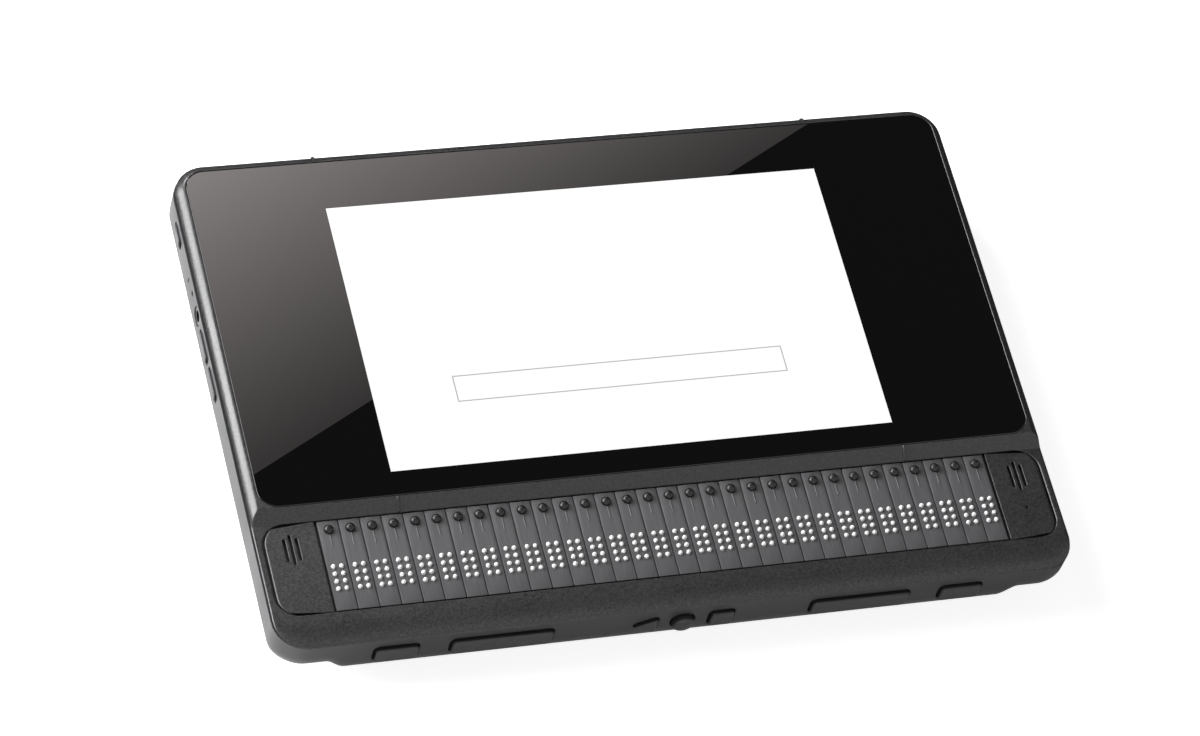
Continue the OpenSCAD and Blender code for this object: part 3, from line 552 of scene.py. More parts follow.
def key_cutters(s, lip):
    """Openings of the thumb keys, whose lips follow the front face as it turns under."""
    cutters = []
    for name in THUMB_KEYS:
        path, r, place = key_shape(name)
        place[1] = FRONT_Y
        rings = carried(path, *flared(r + KEY_GAP, lip, FRONT_WALL + PAST), FRONT, place)
        below = np.clip(BELLY_Z + s["front_r"] - rings[..., 2], 0, s["front_r"])
        rings[..., 1] += s["front_r"] - np.sqrt(s["front_r"] ** 2 - below ** 2)
        cutters.append(rings)
    return cutters


def side_key_shape(name):
    """A side key's place, half length and half height."""
    low, high = cad(name)
    middle = (low + high) / 2
    half = (high - low)[1:] / 2 - SIDE_KEY_FLANGE
    return np.array([low[0], middle[1], middle[2]]), half


def side_cutters():
    """Openings in the left wall for keys, jack, microphone and slit, and the right wall's charging socket."""
    jack_y = (JACK_LOW[1] + JACK_HIGH[1]) / 2
    jack_z = JACK_HIGH[2] - JACK_AXIS_DROP
    deep = SIDE_WALL + PAST
    cutters = []
    for name in SIDE_KEYS:
        place, half = side_key_shape(name)
        place[0] = -HALF_W
        cutters.append(opening(half + SIDE_KEY_GAP, SIDE_KEY_R, SIDE_KEY_LIP, deep, LEFT, place))
    for wall_x, axes, holes in ((-HALF_W, LEFT, (JACK_HOLE, MICROPHONE_HOLE, SLIT)),
                                (HALF_W, RIGHT, (CHARGING_HOLE,))):
        for half, r, lip, (back, up), steps in holes:
            place = (wall_x, jack_y + back, jack_z + up)
            cutters.append(opening(half, r, lip, deep, axes, place, steps))
    return cutters


def screw_places():
    """The six screws: four corners and two along the back."""
    low = SCREWS_LOW[:2] + SCREW_HEAD_R
    high = SCREWS_HIGH[:2] - SCREW_HEAD_R
    corners = [(x, y, 0) for x in (low[0], high[0]) for y in (low[1], high[1])]
    return corners + [(x, high[1], 0) for x in (-SCREW_INNER_X, SCREW_INNER_X)]


def foot_places():
    """The four feet, at the corners of their solids' box."""
    low = FEET_LOW + FOOT_R
    high = FEET_HIGH - FOOT_R
    return [(x, y, 0) for x in (low[0], high[0]) for y in (low[1], high[1])]


def door_plate():
    """The battery door's middle and half size, without its tongues and hook."""
    low_y = DOOR_LOW[1] + DOOR_TONGUE
    high_y = DOOR_HIGH[1] - DOOR_HOOK
    half = np.array([(DOOR_HIGH[0] - DOOR_LOW[0]) / 2, (high_y - low_y) / 2 - DOOR_GAP])
    return (0, (low_y + high_y) / 2, 0), half


def under_cutters():
    """Screw wells, foot seats and the battery opening in the underside."""
    seat_z = SCREWS_HIGH[2] - SCREW_L
    well_r = [WELL_R + 0.2, WELL_R, WELL_R, SCREW_HOLE_R, SCREW_HOLE_R]
    well_z = [-PAST, 1.5, seat_z, seat_z, seat_z + 6]
    cutters = [carried(circle(WELL_R, 8), well_r, well_z, place=place) for place in screw_places()]
    seat_r = FOOT_R + 0.1
    cutters += [block((seat_r, seat_r), seat_r, -PAST, BELLY_Z + FOOT_SEAT, place=place, steps=12)
                for place in foot_places()]
    middle, half = door_plate()
    r = DOOR_R + DOOR_GAP
    cutters.append(carried(round_rect(*(half + DOOR_GAP), r), [r + 0.3, r, r],
                           [BELLY_Z - 0.3, BELLY_Z + 0.05, BELLY_Z + FLOOR_T + PAST], place=middle))
    return cutters


# The top cover

SLOPE_FOOT_Y = CAPS_HIGH[1] + SEAM


def edge_distance(x, y, r):
    """Distance in from the case's outline, and how far the nearest edge faces the front, 0 to 1."""
    over_x = np.abs(x) - (HALF_W - r)
    over_y = np.abs(y) - (BACK_Y - r)
    round_x = np.maximum(over_x, 0)
    round_y = np.maximum(over_y, 0)
    reach = np.hypot(round_x, round_y)
    inside = r - reach - np.minimum(np.maximum(over_x, over_y), 0)
    facing = np.where(reach > 0, round_y / np.maximum(reach, TIP * MM), over_y > over_x)
    return inside, smooth(np.where(y < 0, facing, 0))


def cover_faces(x, y, s):
    """Heights of the cover's upper and lower face.

    The rail rises over the distance from the outline. The deck is level, rolls down to the front edge as
    a quarter ellipse, and turns into the slope in front of the glass. The lesser of the two is taken,
    eased where they meet. The lower face leaves the parting line open.
    """
    full = TOP_Z - PART_Z
    deck = DECK_Z - PART_Z
    inside, front = edge_distance(x, y, s["corner_r"])
    inside = inside - COVER_INSET * (1 - front)
    climb = (y - SLOPE_FOOT_Y) / s["slope_run"]
    gap = s["parting_gap"] + (s["frame_gap"] - s["parting_gap"]) * smooth(climb)
    gap = gap + (s["front_gap"] - gap) * front
    rail = gap + (full - gap) * quarter(inside / s["rail_w"], RAIL_POWER)
    slope = deck + (full - deck) * np.maximum(climb, 0)
    roll_w = s["deck_edge"] + (s["deck_roll"] - s["deck_edge"]) * front
    rolled = gap + (slope - gap) * quarter(inside / roll_w)
    ease = s["ease"] * (1 - front) * smooth(inside / s["rail_w"]) + TIP
    height = soft_min(rail, rolled, ease)
    return PART_Z + np.maximum(height, gap + TIP), PART_Z + gap


def cover_grid(s):
    """Rows and columns over the case: rows bunch at the front roll, slope and back rail, columns at the
    rails, and each row is as wide as the outline there. The cover is flush with the shell in front and
    lies in a little elsewhere."""
    r = s["corner_r"]
    turn = quarter_turn(30)
    front_r = r - COVER_INSET * (1 - smooth(np.cos(turn)))
    back_r = r - COVER_INSET
    slope_top_y = SLOPE_FOOT_Y + s["slope_run"]
    straight = np.concatenate([
        np.linspace(FRONT_Y + r, SLOPE_FOOT_Y - 2, 6)[1:],
        np.linspace(SLOPE_FOOT_Y - 1.6, slope_top_y + 1.6, 33),
        np.linspace(slope_top_y + 6, BACK_Y - r, 8)[:-1]])
    front_rows = FRONT_Y + r - front_r * np.cos(turn)
    back_rows = BACK_Y - r + back_r * np.sin(turn)
    rows = np.concatenate([front_rows, straight, back_rows])
    bulge = np.concatenate([front_r * np.sin(turn), 0 * straight + back_r, back_r * np.cos(turn)])
    width = HALF_W - r + bulge
    rail = s["rail_w"] * (1 - np.cos(quarter_turn(14)))
    insets = np.concatenate([rail, np.linspace(s["rail_w"] + 0.5, 12, 9)])
    middle = np.linspace(-1, 1, 13)[1:-1]
    left = -width[:, None] + insets
    core = (width[:, None] - insets[-1]) * middle
    x = np.concatenate([left, core, -left[:, ::-1]], axis=1)
    return x, np.broadcast_to(rows[:, None], x.shape)


def height_field(x, y, upper, lower):
    """Points and faces of the closed body between two faces over one grid."""
    rows, columns = x.shape
    points = np.concatenate([np.stack([x, y, z], -1).reshape(-1, 3) for z in (upper, lower)])
    index = np.arange(rows * columns).reshape(rows, columns)
    quads = np.stack([index[:-1, :-1], index[:-1, 1:], index[1:, 1:], index[1:, :-1]], -1).reshape(-1, 4)
    rim = np.concatenate([index[0], index[1:, -1], index[-1, -2::-1], index[-2:0:-1, 0]])
    low = rim + rows * columns
    wall = np.stack([low, np.roll(low, -1), np.roll(rim, -1), rim], -1)
    return points, [quads, quads[:, ::-1] + rows * columns, wall]


def deck_opening(s):
    """The opening for caps and panels, whose lip is round beside the panels and small elsewhere."""
    r = PANEL_R + SEAM
    path = round_rect(PANEL_HIGH[0] + PANEL_GROW[0] + PANEL_GROOVE, CAPS_HALF_Y + SEAM, r, 12)
    lip = SMALL_LIP + (s["lip_r"] - SMALL_LIP) * smooth(np.abs(path[1][:, 0]) ** 3)
    a = quarter_turn(6)[:, None]
    level = 0 * lip
    radii = np.concatenate([[level + r], r + lip * (1 - np.cos(a)), [r + lip + TIP]])
    heights = np.concatenate([[level + PART_Z - PAST], DECK_Z - lip * (1 - np.sin(a)),
                              [level + DECK_Z + PAST]])
    return carried(path, radii, heights, place=(0, CAPS_MID_Y, 0))


def glass_pocket():
    """The pocket of the glass, with a fine chamfer."""
    half = (GLASS_HIGH - GLASS_LOW)[:2] / 2 + GLASS_GAP
    middle_y = (GLASS_LOW[1] + GLASS_HIGH[1]) / 2
    r = GLASS_R + GLASS_GAP
    wide = r + GLASS_CHAMFER
    return carried(round_rect(*half, r, 12), [r, r, wide, wide + PAST],
                   [GLASS_LOW[2], TOP_Z - GLASS_CHAMFER, TOP_Z, TOP_Z + PAST], place=(0, middle_y, 0))


def lcd_opening():
    """The opening behind the glass for the display."""
    half = (LCD_HIGH - LCD_LOW)[:2] / 2 + LCD_GAP
    middle = (LCD_LOW + LCD_HIGH)[:2] / 2
    return block(half, 0.5, PART_Z - PAST, GLASS_LOW[2] + 0.5, place=(*middle, 0))


def screen_marks(s):
    """Four fine ribs in line with the picture's sides: two across the slope, two across the back rail."""
    mark_x, half, rise, sink = 78.0, 0.45, 0.5, 0.6
    slope_y = SLOPE_FOOT_Y + 0.2 + np.linspace(0, s["slope_run"], 7)
    slope_z = DECK_Z + (TOP_Z - DECK_Z) * (slope_y - SLOPE_FOOT_Y) / s["slope_run"]
    t = np.linspace(0.03, 0.9, 9)
    back_y = BACK_Y - COVER_INSET - s["rail_w"] * t
    back_z = TOP_Z - (TOP_Z - PART_Z - s["frame_gap"]) * (1 - quarter(t, RAIL_POWER))
    across = half * np.array([-1, 1, 1, 0.5, -0.5, -1])
    lift = np.array([-sink, -sink, 0.4 * rise, rise, rise, 0.4 * rise])
    stacks = []
    for x in (-mark_x, mark_x):
        for y, z, out in ((slope_y, np.minimum(slope_z, TOP_Z - 0.1), -0.7), (back_y, back_z, 0.7)):
            sides = np.broadcast_arrays(x + across, y[:, None] + out * lift, z[:, None] + 0.7 * lift)
            rib = np.stack(sides, -1)
            stacks.append(rib[:, ::-1] if out < 0 else rib)
    return stacks


# Finishes

# Moulded grains: width and depth in millimetres, roughness, spread of tone and gloss
SATIN = (0.7, 0.012, 0.42, 0.06)
KEY_SATIN = (0.7, 0.01, 0.4, 0.05)
COVER_GRAIN = (0.7, 0.05, 0.3, 0.7, 0.5)
PANEL_GRAIN = (0.7, 0.05, 0.32, 0.7, 0.5)
# Between these two distances from the front edge, the cover's grain comes in
GRAIN_START = (2, 8)
# The lit picture's insets from the display's left and front, and right and back, and its one plain field
PICTURE_INSETS = ((3.77, 2.99), (5.47, 6.7))
FIELD_MIDDLE = np.array([-2.0, -4.3])
FIELD_HALF = np.array([51.2, 4.5])
FIELD_LINE = 0.35


def feed(node, inputs):
    """Links or sets a shader node's inputs. Another node stands for its first output."""
    for key, value in inputs.items():
        if isinstance(value, bpy.types.Node):
            value = value.outputs[0]
        if isinstance(value, bpy.types.NodeSocket):
            node.id_data.links.new(value, node.inputs[key])
        else:
            node.inputs[key].default_value = value


def add(tree, kind, inputs=None, **settings):
    """Adds a shader node, sets its options, and links or sets its inputs."""
    made = tree.nodes.new("ShaderNode" + kind)
    for key, value in settings.items():
        setattr(made, key, value)
    feed(made, inputs or {})
    return made


def material(name, colour):
    """A new material with its node tree, its shader and its Object coordinates."""
    made = bpy.data.materials.new(name)
    made.use_nodes = True
    made.diffuse_color = (*colour, 1)
    tree = made.node_tree
    shader = tree.nodes["Principled BSDF"]
    feed(shader, {"Base Color": (*colour, 1)})
    return made, tree, shader, add(tree, "TexCoord").outputs["Object"]


def shade(colour, share):
    """A colour made darker or lighter by a share of itself."""
    return (*[min(c * share, 1.0) for c in colour], 1)


def moulded(name, colour, grain, depth, roughness, spread, gloss=0.4, fade=None):
    """Moulded thermoplastic from a spark-eroded tool: a fine, even grain that breaks up the gloss.

    Grain is its width and depth its height, in millimetres. The grain runs out to the front between two
    places in Y, where fade gives them, as on a tool polished at its edge.
    """
    made, tree, shader, place = material(name, colour)
    pits = add(tree, "TexNoise", {"Vector": place, "Scale": 1 / (grain * MM), "Detail": 2.0,
                                  "Roughness": 0.6})
    cloud = add(tree, "TexNoise", {"Vector": place, "Scale": 1 / (18 * MM), "Detail": 2.0})
    tone = add(tree, "MapRange", {"Value": pits, "From Min": 0.3, "From Max": 0.7})
    mixed = add(tree, "MixRGB", {"Fac": tone, "Color1": shade(colour, 1 - spread),
                                 "Color2": shade(colour, 1 + spread)})
    worn = add(tree, "MapRange", {"Value": cloud, "From Min": 0.3, "From Max": 0.7,
                                  "To Min": roughness - 0.04, "To Max": roughness + 0.04})
    bump = add(tree, "Bump", {"Height": pits, "Distance": depth * MM})
    if fade:
        axis = add(tree, "SeparateXYZ", {0: place})
        kept = add(tree, "MapRange", {"Value": axis.outputs["Y"], "From Min": fade[0] * MM,
                                      "From Max": fade[1] * MM, "To Min": 0.1})
        feed(bump, {"Strength": kept})
    feed(shader, {"Base Color": mixed, "Roughness": worn, "Normal": bump, "Specular IOR Level": gloss})
    return made


def streaked(name, colour):
    """Moulded nylon of the cell caps, polished along the cell: fine streaks from front to back."""
    made, tree, shader, place = material(name, colour)
    streak_size = np.array([0.45, 14.0, 2.0])
    along = add(tree, "Mapping", {"Vector": place, "Scale": tuple(1 / (streak_size * MM))})
    streaks = add(tree, "TexNoise", {"Vector": along, "Scale": 1.0, "Detail": 3.0, "Roughness": 0.6})
    tone = add(tree, "MapRange", {"Value": streaks, "From Min": 0.3, "From Max": 0.7})
    mixed = add(tree, "MixRGB", {"Fac": tone, "Color1": shade(colour, 0.84), "Color2": shade(colour, 1.16)})
    worn = add(tree, "MapRange", {"Value": streaks, "To Min": 0.5, "To Max": 0.38})
    bump = add(tree, "Bump", {"Height": streaks, "Distance": 0.03 * MM})
    feed(shader, {"Base Color": mixed, "Roughness": worn, "Normal": bump})
    return made


def polished(name, colour, roughness, wave=25.0, gloss=0.5):
    """Polished moulded plastic: a clear highlight over a surface that is not quite even."""
    made, tree, shader, place = material(name, colour)
    cloud = add(tree, "TexNoise", {"Vector": place, "Scale": 1 / (wave * MM), "Detail": 3.0})
    worn = add(tree, "MapRange", {"Value": cloud, "To Min": roughness * 0.8, "To Max": roughness * 1.3})
    mixed = add(tree, "MixRGB", {"Fac": cloud, "Color1": shade(colour, 0.95), "Color2": shade(colour, 1.05)})
    feed(shader, {"Base Color": mixed, "Roughness": worn, "Specular IOR Level": gloss})
    return made


def acetal(name, colour):
    """Polished acetal, which lets light in and spreads it, so that the shaded side of a pin stays pale."""
    made = polished(name, colour, 0.3, 6.0)
    feed(made.node_tree.nodes["Principled BSDF"],
         {"Subsurface Weight": 1.0, "Subsurface Radius": (1, 1, 1), "Subsurface Scale": 2.0 * MM})
    return made


def inside_box(tree, place, middle, half):
    """1 where a place lies inside a rectangle given in millimetres in X and Y, 0 outside it."""
    centred = add(tree, "VectorMath", {0: place, 1: (*middle * MM, 0)}, operation="SUBTRACT")
    folded = add(tree, "VectorMath", {0: centred}, operation="ABSOLUTE")
    axis = add(tree, "SeparateXYZ", {0: folded})
    in_x = add(tree, "Math", {0: axis.outputs["X"], 1: half[0] * MM}, operation="LESS_THAN")
    in_y = add(tree, "Math", {0: axis.outputs["Y"], 1: half[1] * MM}, operation="LESS_THAN")
    return add(tree, "Math", {0: in_x, 1: in_y}, operation="MULTIPLY")


def lit_glass(name, colour):
    """Chemically hardened cover glass, printed black behind, with the lit picture in its window.

    The polished face mirrors the studio, the print takes all other light, and the picture glows white.
    """
    made, tree, shader, place = material(name, colour)
    low = LCD_LOW[:2] + PICTURE_INSETS[0]
    high = LCD_HIGH[:2] - PICTURE_INSETS[1]
    picture = inside_box(tree, place, (low + high) / 2, (high - low) / 2)
    field = inside_box(tree, place, FIELD_MIDDLE, FIELD_HALF)
    blank = inside_box(tree, place, FIELD_MIDDLE, FIELD_HALF - FIELD_LINE)
    border = add(tree, "Math", {0: field, 1: blank}, operation="SUBTRACT")
    dimmed = add(tree, "Math", {0: border, 1: 0.55}, operation="MULTIPLY")
    glow = add(tree, "Math", {0: picture, 1: dimmed}, operation="SUBTRACT")
    feed(shader, {"Emission Strength": glow, "Emission Color": (1, 1, 1, 1), "Roughness": 0.0})
    return made


def rubber(name, colour):
    """Moulded rubber: dull, with a slight dusty bloom."""
    return moulded(name, colour, 0.9, 0.02, 0.8, 0.12)


def steel(name, colour):
    """Zinc-plated steel, turned: fine rings and a soft gleam."""
    made, tree, shader, place = material(name, colour)
    turned = add(tree, "TexNoise", {"Vector": place, "Scale": 1 / (0.4 * MM), "Detail": 2.0})
    worn = add(tree, "MapRange", {"Value": turned, "To Min": 0.25, "To Max": 0.45})
    feed(shader, {"Roughness": worn, "Metallic": 1.0})
    return made


# Operators, one for each piece or group of like pieces

class LowerShell(bpy.types.Operator):
    """Makes the lower shell with its belly, its rounded edges and its openings"""

    bl_idname = "notetaker.lower_shell"
    bl_label = "Lower shell"

    def execute(self, context):
        s = lengths(context.scene.notetaker_case)
        lip = context.scene.notetaker_details.key_lip / MM
        shell = solids("lower_shell_skin", [shell_rings(s, False)])
        hollow = solids("hollow_tool", [shell_rings(s, True)])
        # The exact solver gives back an empty hollow here, so the carve after it takes nothing out and the
        # shell stays solid
        cut(hollow, [block((BOSS_R, BOSS_R), BOSS_R, -PAST, BOSS_Z, place=place, steps=8)
                     for place in screw_places()])
        carve(shell, hollow, "DIFFERENCE")
        cut(shell, key_cutters(s, lip) + side_cutters() + under_cutters())
        flat_faces_first(shell)
        finish = moulded("abs_satin_charcoal", context.scene.notetaker_colours.shell, *SATIN)
        dress(shell, finish, "shell_plastic", CHASSIS, "lower_shell")
        return {"FINISHED"}


class TopCover(bpy.types.Operator):
    """Makes the deck, the slope and the round rail of the top cover"""

    bl_idname = "notetaker.top_cover"
    bl_label = "Top cover"

    def execute(self, context):
        s = lengths(context.scene.notetaker_case)
        x, y = cover_grid(s)
        cover = mesh_object("top_cover_skin", *height_field(x, y, *cover_faces(x, y, s)))
        join(cover, screen_marks(s))
        cut(cover, [deck_opening(s), glass_pocket()])
        cut(cover, [lcd_opening()])
        flat_faces_first(cover)
        fade = [FRONT_Y + start for start in GRAIN_START]
        finish = moulded("abs_grained_charcoal", context.scene.notetaker_colours.cover, *COVER_GRAIN, fade)
        dress(cover, finish, "cover_plastic", CHASSIS, "top_cover")
        return {"FINISHED"}


class Screen(bpy.types.Operator):
    """Makes the cover glass with its ground edge and the lit picture"""

    bl_idname = "notetaker.screen"
    bl_label = "Screen"

    def execute(self, context):
        edge = context.scene.notetaker_details.glass_edge / MM
        half = (GLASS_HIGH - GLASS_LOW)[:2] / 2 + GLASS_GROW
        middle = (GLASS_LOW + GLASS_HIGH)[:2] / 2
        profile = eased(GLASS_R, GLASS_LOW[2], TOP_Z, edge)
        plate = carried(round_rect(*half, GLASS_R, 16), *profile, place=(*middle, 0))
        glass = solids("screen_glass_plate", [plate])
        flat_faces_first(glass)
        finish = lit_glass("hardened_glass_printed_black", context.scene.notetaker_colours.glass)
        dress(glass, finish, "glass", CHASSIS, "screen_glass")
        return {"FINISHED"}


class CellCaps(bpy.types.Operator):
    """Makes the thirty-two cell caps with their dot holes, button holes and guide ribs"""

    bl_idname = "notetaker.cell_caps"
    bl_label = "Cell caps"

    def execute(self, context):
        edge = context.scene.notetaker_details.cap_edge / MM
        front_y = CAPS_LOW[1] + CAPS_FRONT_EASE
        half = (CELL_XS[1] - CELL_XS[0] - CAP_GAP) / 2, (CAPS_HIGH[1] - front_y) / 2
        slab = carried(round_rect(*half, CAP_R, 2), *eased(CAP_R, CAPS_LOW[2], CAP_Z, edge, 2),
                       place=(0, (front_y + CAPS_HIGH[1]) / 2, 0))
        cap = solids("cell_cap_one", [slab])
        rib_y = BUTTON_Y - RIB_TO_BUTTON - RIB_HALF[1]
        join(cap, [carried(round_rect(*RIB_HALF, 0.1, 2), [0.1, 0.1, 0.05],
                           [CAP_Z - 0.3, CAP_Z + 0.1, CAP_Z + 0.15], place=(0, rib_y, 0))])
        through = CAPS_LOW[2] - PAST, CAP_Z + PAST
        dots = [(side * DOT_PITCH / 2, DOTS_Y + row * DOT_PITCH, 0)
                for side in (-1, 1) for rows in DOT_ROWS.values() for row in rows]
        holes = [block((DOT_HOLE_R, DOT_HOLE_R), DOT_HOLE_R, *through, place=place) for place in dots]
        holes.append(block((BUTTON_HOLE_R, BUTTON_HOLE_R), BUTTON_HOLE_R, *through, place=(0, BUTTON_Y, 0),
                           steps=6))
        cut(cap, holes)
        finish = streaked("nylon_polished_grey", context.scene.notetaker_colours.cap)
        dress(self.row(cap), finish, "cap_plastic", CHASSIS, "cell_caps")
        return {"FINISHED"}

    def row(self, cap):
        """All caps in one mesh: the first cap's points and faces repeated at every cell."""
        mesh = cap.data
        points = np.zeros(len(mesh.vertices) * 3, np.float32)
        mesh.vertices.foreach_get("co", points)
        corners = np.zeros(len(mesh.loops), np.int32)
        mesh.loops.foreach_get("vertex_index", corners)
        starts = np.zeros(len(mesh.polygons), np.int32)
        mesh.polygons.foreach_get("loop_start", starts)
        counts = np.diff(starts, append=len(corners))
        faces = [corners[starts[counts == n][:, None] + np.arange(n)] for n in np.unique(counts)]
        places = np.column_stack([CELL_XS, 0 * CELL_XS, 0 * CELL_XS])
        caps = mesh_object("cell_cap_row", *copies(points.reshape(-1, 3) / MM, faces, places))
        bpy.data.objects.remove(cap)
        bpy.data.meshes.remove(mesh)
        return caps


class DotPins(bpy.types.Operator):
    """Makes the domed dot pins of every cell"""

    bl_idname = "notetaker.dot_pins"
    bl_label = "Dot pins"

    def execute(self, context):
        finish = acetal("acetal_polished_white", context.scene.notetaker_colours.pin)
        a = np.radians([0, 30, 58, 80])
        foot = CAP_Z + DOT_STRAIGHT
        radii = np.append(DOT_R, DOT_R * np.cos(a))
        heights = np.append(PINS_LOW[2], foot + (PINS_HIGH[2] - foot) * np.sin(a))
        pin = carried(circle(DOT_R, 2), radii, heights)
        for node, rows in DOT_ROWS.items():
            places = [(x + side * DOT_PITCH / 2, DOTS_Y + row * DOT_PITCH, 0)
                      for x in CELL_XS for side in (-1, 1) for row in rows]
            pins = mesh_object(node + "_domed", *copies(pin.reshape(-1, 3), ring_faces(pin), places), 60)
            dress(pins, finish, "pin_plastic", node, node)
        return {"FINISHED"}


class RoutingButtons(bpy.types.Operator):
    """Makes a glossy domed routing button above every cell"""

    bl_idname = "notetaker.routing_buttons"
    bl_label = "Routing buttons"

    def execute(self, context):
        finish = polished("abs_polished_black", context.scene.notetaker_colours.button, 0.34, 6.0, 0.4)
        a = np.radians(np.linspace(0, 88, 12))
        foot = CAP_Z + 0.1
        for name in BUTTONS:
            low, high = cad(name)
            middle = (low + high)[:2] / 2
            flange_r = (high[0] - low[0]) / 2
            r = flange_r - BUTTON_FLANGE
            shoulder = low[2] + BUTTON_FLANGE_T
            rise = high[2] + BUTTON_GROW - foot
            radii = np.concatenate([[flange_r, flange_r, r], r * np.cos(a)])
            heights = np.concatenate([[low[2], shoulder, shoulder], foot + rise * np.sin(a)])
            button = solids(name + "_dome", [carried(circle(r, 7), radii, heights, place=(*middle, 0))], 50)
            dress(button, finish, "button_plastic", name, name)
        return {"FINISHED"}


class SpeakerPanels(bpy.types.Operator):
    """Makes the two end panels with their sound slots"""

    bl_idname = "notetaker.speaker_panels"
    bl_label = "Speaker panels"

    def execute(self, context):
        edge = context.scene.notetaker_details.panel_edge / MM
        finish = moulded("abs_fine_grained_grey", context.scene.notetaker_colours.panel, *PANEL_GRAIN)
        grow_x, grow_y = PANEL_GROW
        half = (PANEL_HIGH[0] - PANEL_LOW[0] + grow_x) / 2, CAPS_HALF_Y + grow_y
        middle_x = (PANEL_HIGH[0] + PANEL_LOW[0]) / 2
        for side, name in ((-1, "left_speaker_panel"), (1, "right_speaker_panel")):
            plate = self.plate(side, half, edge, (side * (middle_x + grow_x / 2), CAPS_MID_Y, 0))
            panel = solids(name + "_plate", [plate])
            low, high = cad(name)
            outer_x = high[0] if side > 0 else low[0]
            flange_x = outer_x - side * (PANEL_FLANGE_INSET + PANEL_FLANGE_W / 2)
            join(panel, [block((PANEL_FLANGE_W / 2, (high[1] - low[1]) / 2), 0.3, low[2],
                               DECK_Z - PANEL_T + 0.2, place=(flange_x, (low[1] + high[1]) / 2, 0), steps=2)])
            cut(panel, self.slots(side * middle_x, side > 0))
            flat_faces_first(panel)
            dress(panel, finish, "cap_plastic", CHASSIS, name)
        return {"FINISHED"}

    def plate(self, side, half, edge, place):
        """The plate: large corners and a wide round edge on its outer side, small ones beside the caps."""
        steps = 8
        outer_x, outer_y = np.array(half) - PANEL_R
        inner_x, inner_y = np.array(half) - PANEL_INNER_R
        corners = [(outer_x, -outer_y), (outer_x, outer_y), (-inner_x, inner_y), (-inner_x, -inner_y)]
        r = np.repeat([PANEL_R, PANEL_R, PANEL_INNER_R, PANEL_INNER_R], steps + 1)
        path = outline(side * np.array(corners), steps)
        outward = (side * path[1][:, 0]) ** 3
        least = SMALL_LIP * (1 + smooth(-outward))
        wide = least + (edge - SMALL_LIP) * smooth(outward)
        tall = least + (0.35 * edge - SMALL_LIP) * smooth(outward)
        a = quarter_turn(6)[:, None]
        radii = np.concatenate([[r], r - wide * (1 - np.cos(a))])
        heights = np.concatenate([[0 * r + DECK_Z - PANEL_T], DECK_Z - tall * (1 - np.sin(a))])
        return carried(path, radii, heights, place=place)

    def slots(self, middle_x, light):
        """Cutters with soft lips for three sound slots, and the light's hole on one panel."""
        y = DOTS_Y + SLOT_BACK
        r = SLOT_W / 2
        cutters = []
        for k, extra in ((-1, 0), (0, SLOT_EXTRA), (1, 0)):
            place = (middle_x + k * SLOT_PITCH, y, DECK_Z)
            cutters.append(opening((r, (SLOT_L + extra) / 2), r, SLOT_LIP, SLOT_DEPTH, TOP, place))
        if light:
            r = LIGHT_HOLE_R
            place = (middle_x, DOTS_Y - LIGHT_HOLE_FRONT, DECK_Z)
            cutters.append(opening((r, r), r, SMALL_LIP, SLOT_DEPTH, TOP, place))
        return cutters


def make_key(name, cap, flange, finish):
    """A key from its cap and the flange that holds it in its opening."""
    key = solids(name + "_cap", [cap])
    join(key, [flange])
    flat_faces_first(key)
    dress(key, finish, "key_plastic", name, name)


class ThumbKeys(bpy.types.Operator):
    """Makes the seven thumb keys with soft front edges"""

    bl_idname = "notetaker.thumb_keys"
    bl_label = "Thumb keys"

    def execute(self, context):
        edge = context.scene.notetaker_details.key_edge / MM
        finish = moulded("abs_satin_key", context.scene.notetaker_colours.key, *KEY_SATIN)
        for name in THUMB_KEYS:
            path, r, place = key_shape(name)
            low, high = cad(name)
            deep = high[1] - place[1]
            profile = eased(r, -deep, 0, edge)
            if name == "round_key":
                a = quarter_turn(10)[:-1]
                profile = np.append(r, r * np.cos(a)), np.append(-deep, ROUND_KEY_DOME * (np.sin(a) - 1))
            flange = block((high - low)[::2] / 2, 0.4, -deep - TIP, -deep + KEY_FLANGE_T, FRONT, place)
            make_key(name, carried(path, *profile, FRONT, place), flange, finish)
        return {"FINISHED"}


class SideKeys(bpy.types.Operator):
    """Makes the power key and the two volume keys"""

    bl_idname = "notetaker.side_keys"
    bl_label = "Side keys"

    def execute(self, context):
        finish = moulded("abs_satin_side_key", context.scene.notetaker_colours.key, *KEY_SATIN)
        for name in SIDE_KEYS:
            place, half = side_key_shape(name)
            low, high = cad(name)
            deep = high[0] - low[0]
            profile = eased(SIDE_KEY_R, -deep, 0, SIDE_KEY_EDGE)
            flange = block(half + SIDE_KEY_FLANGE, 0.3, -deep - TIP, -deep + SIDE_KEY_FLANGE_T, LEFT, place)
            make_key(name, carried(round_rect(*half, SIDE_KEY_R), *profile, LEFT, place), flange, finish)
        return {"FINISHED"}


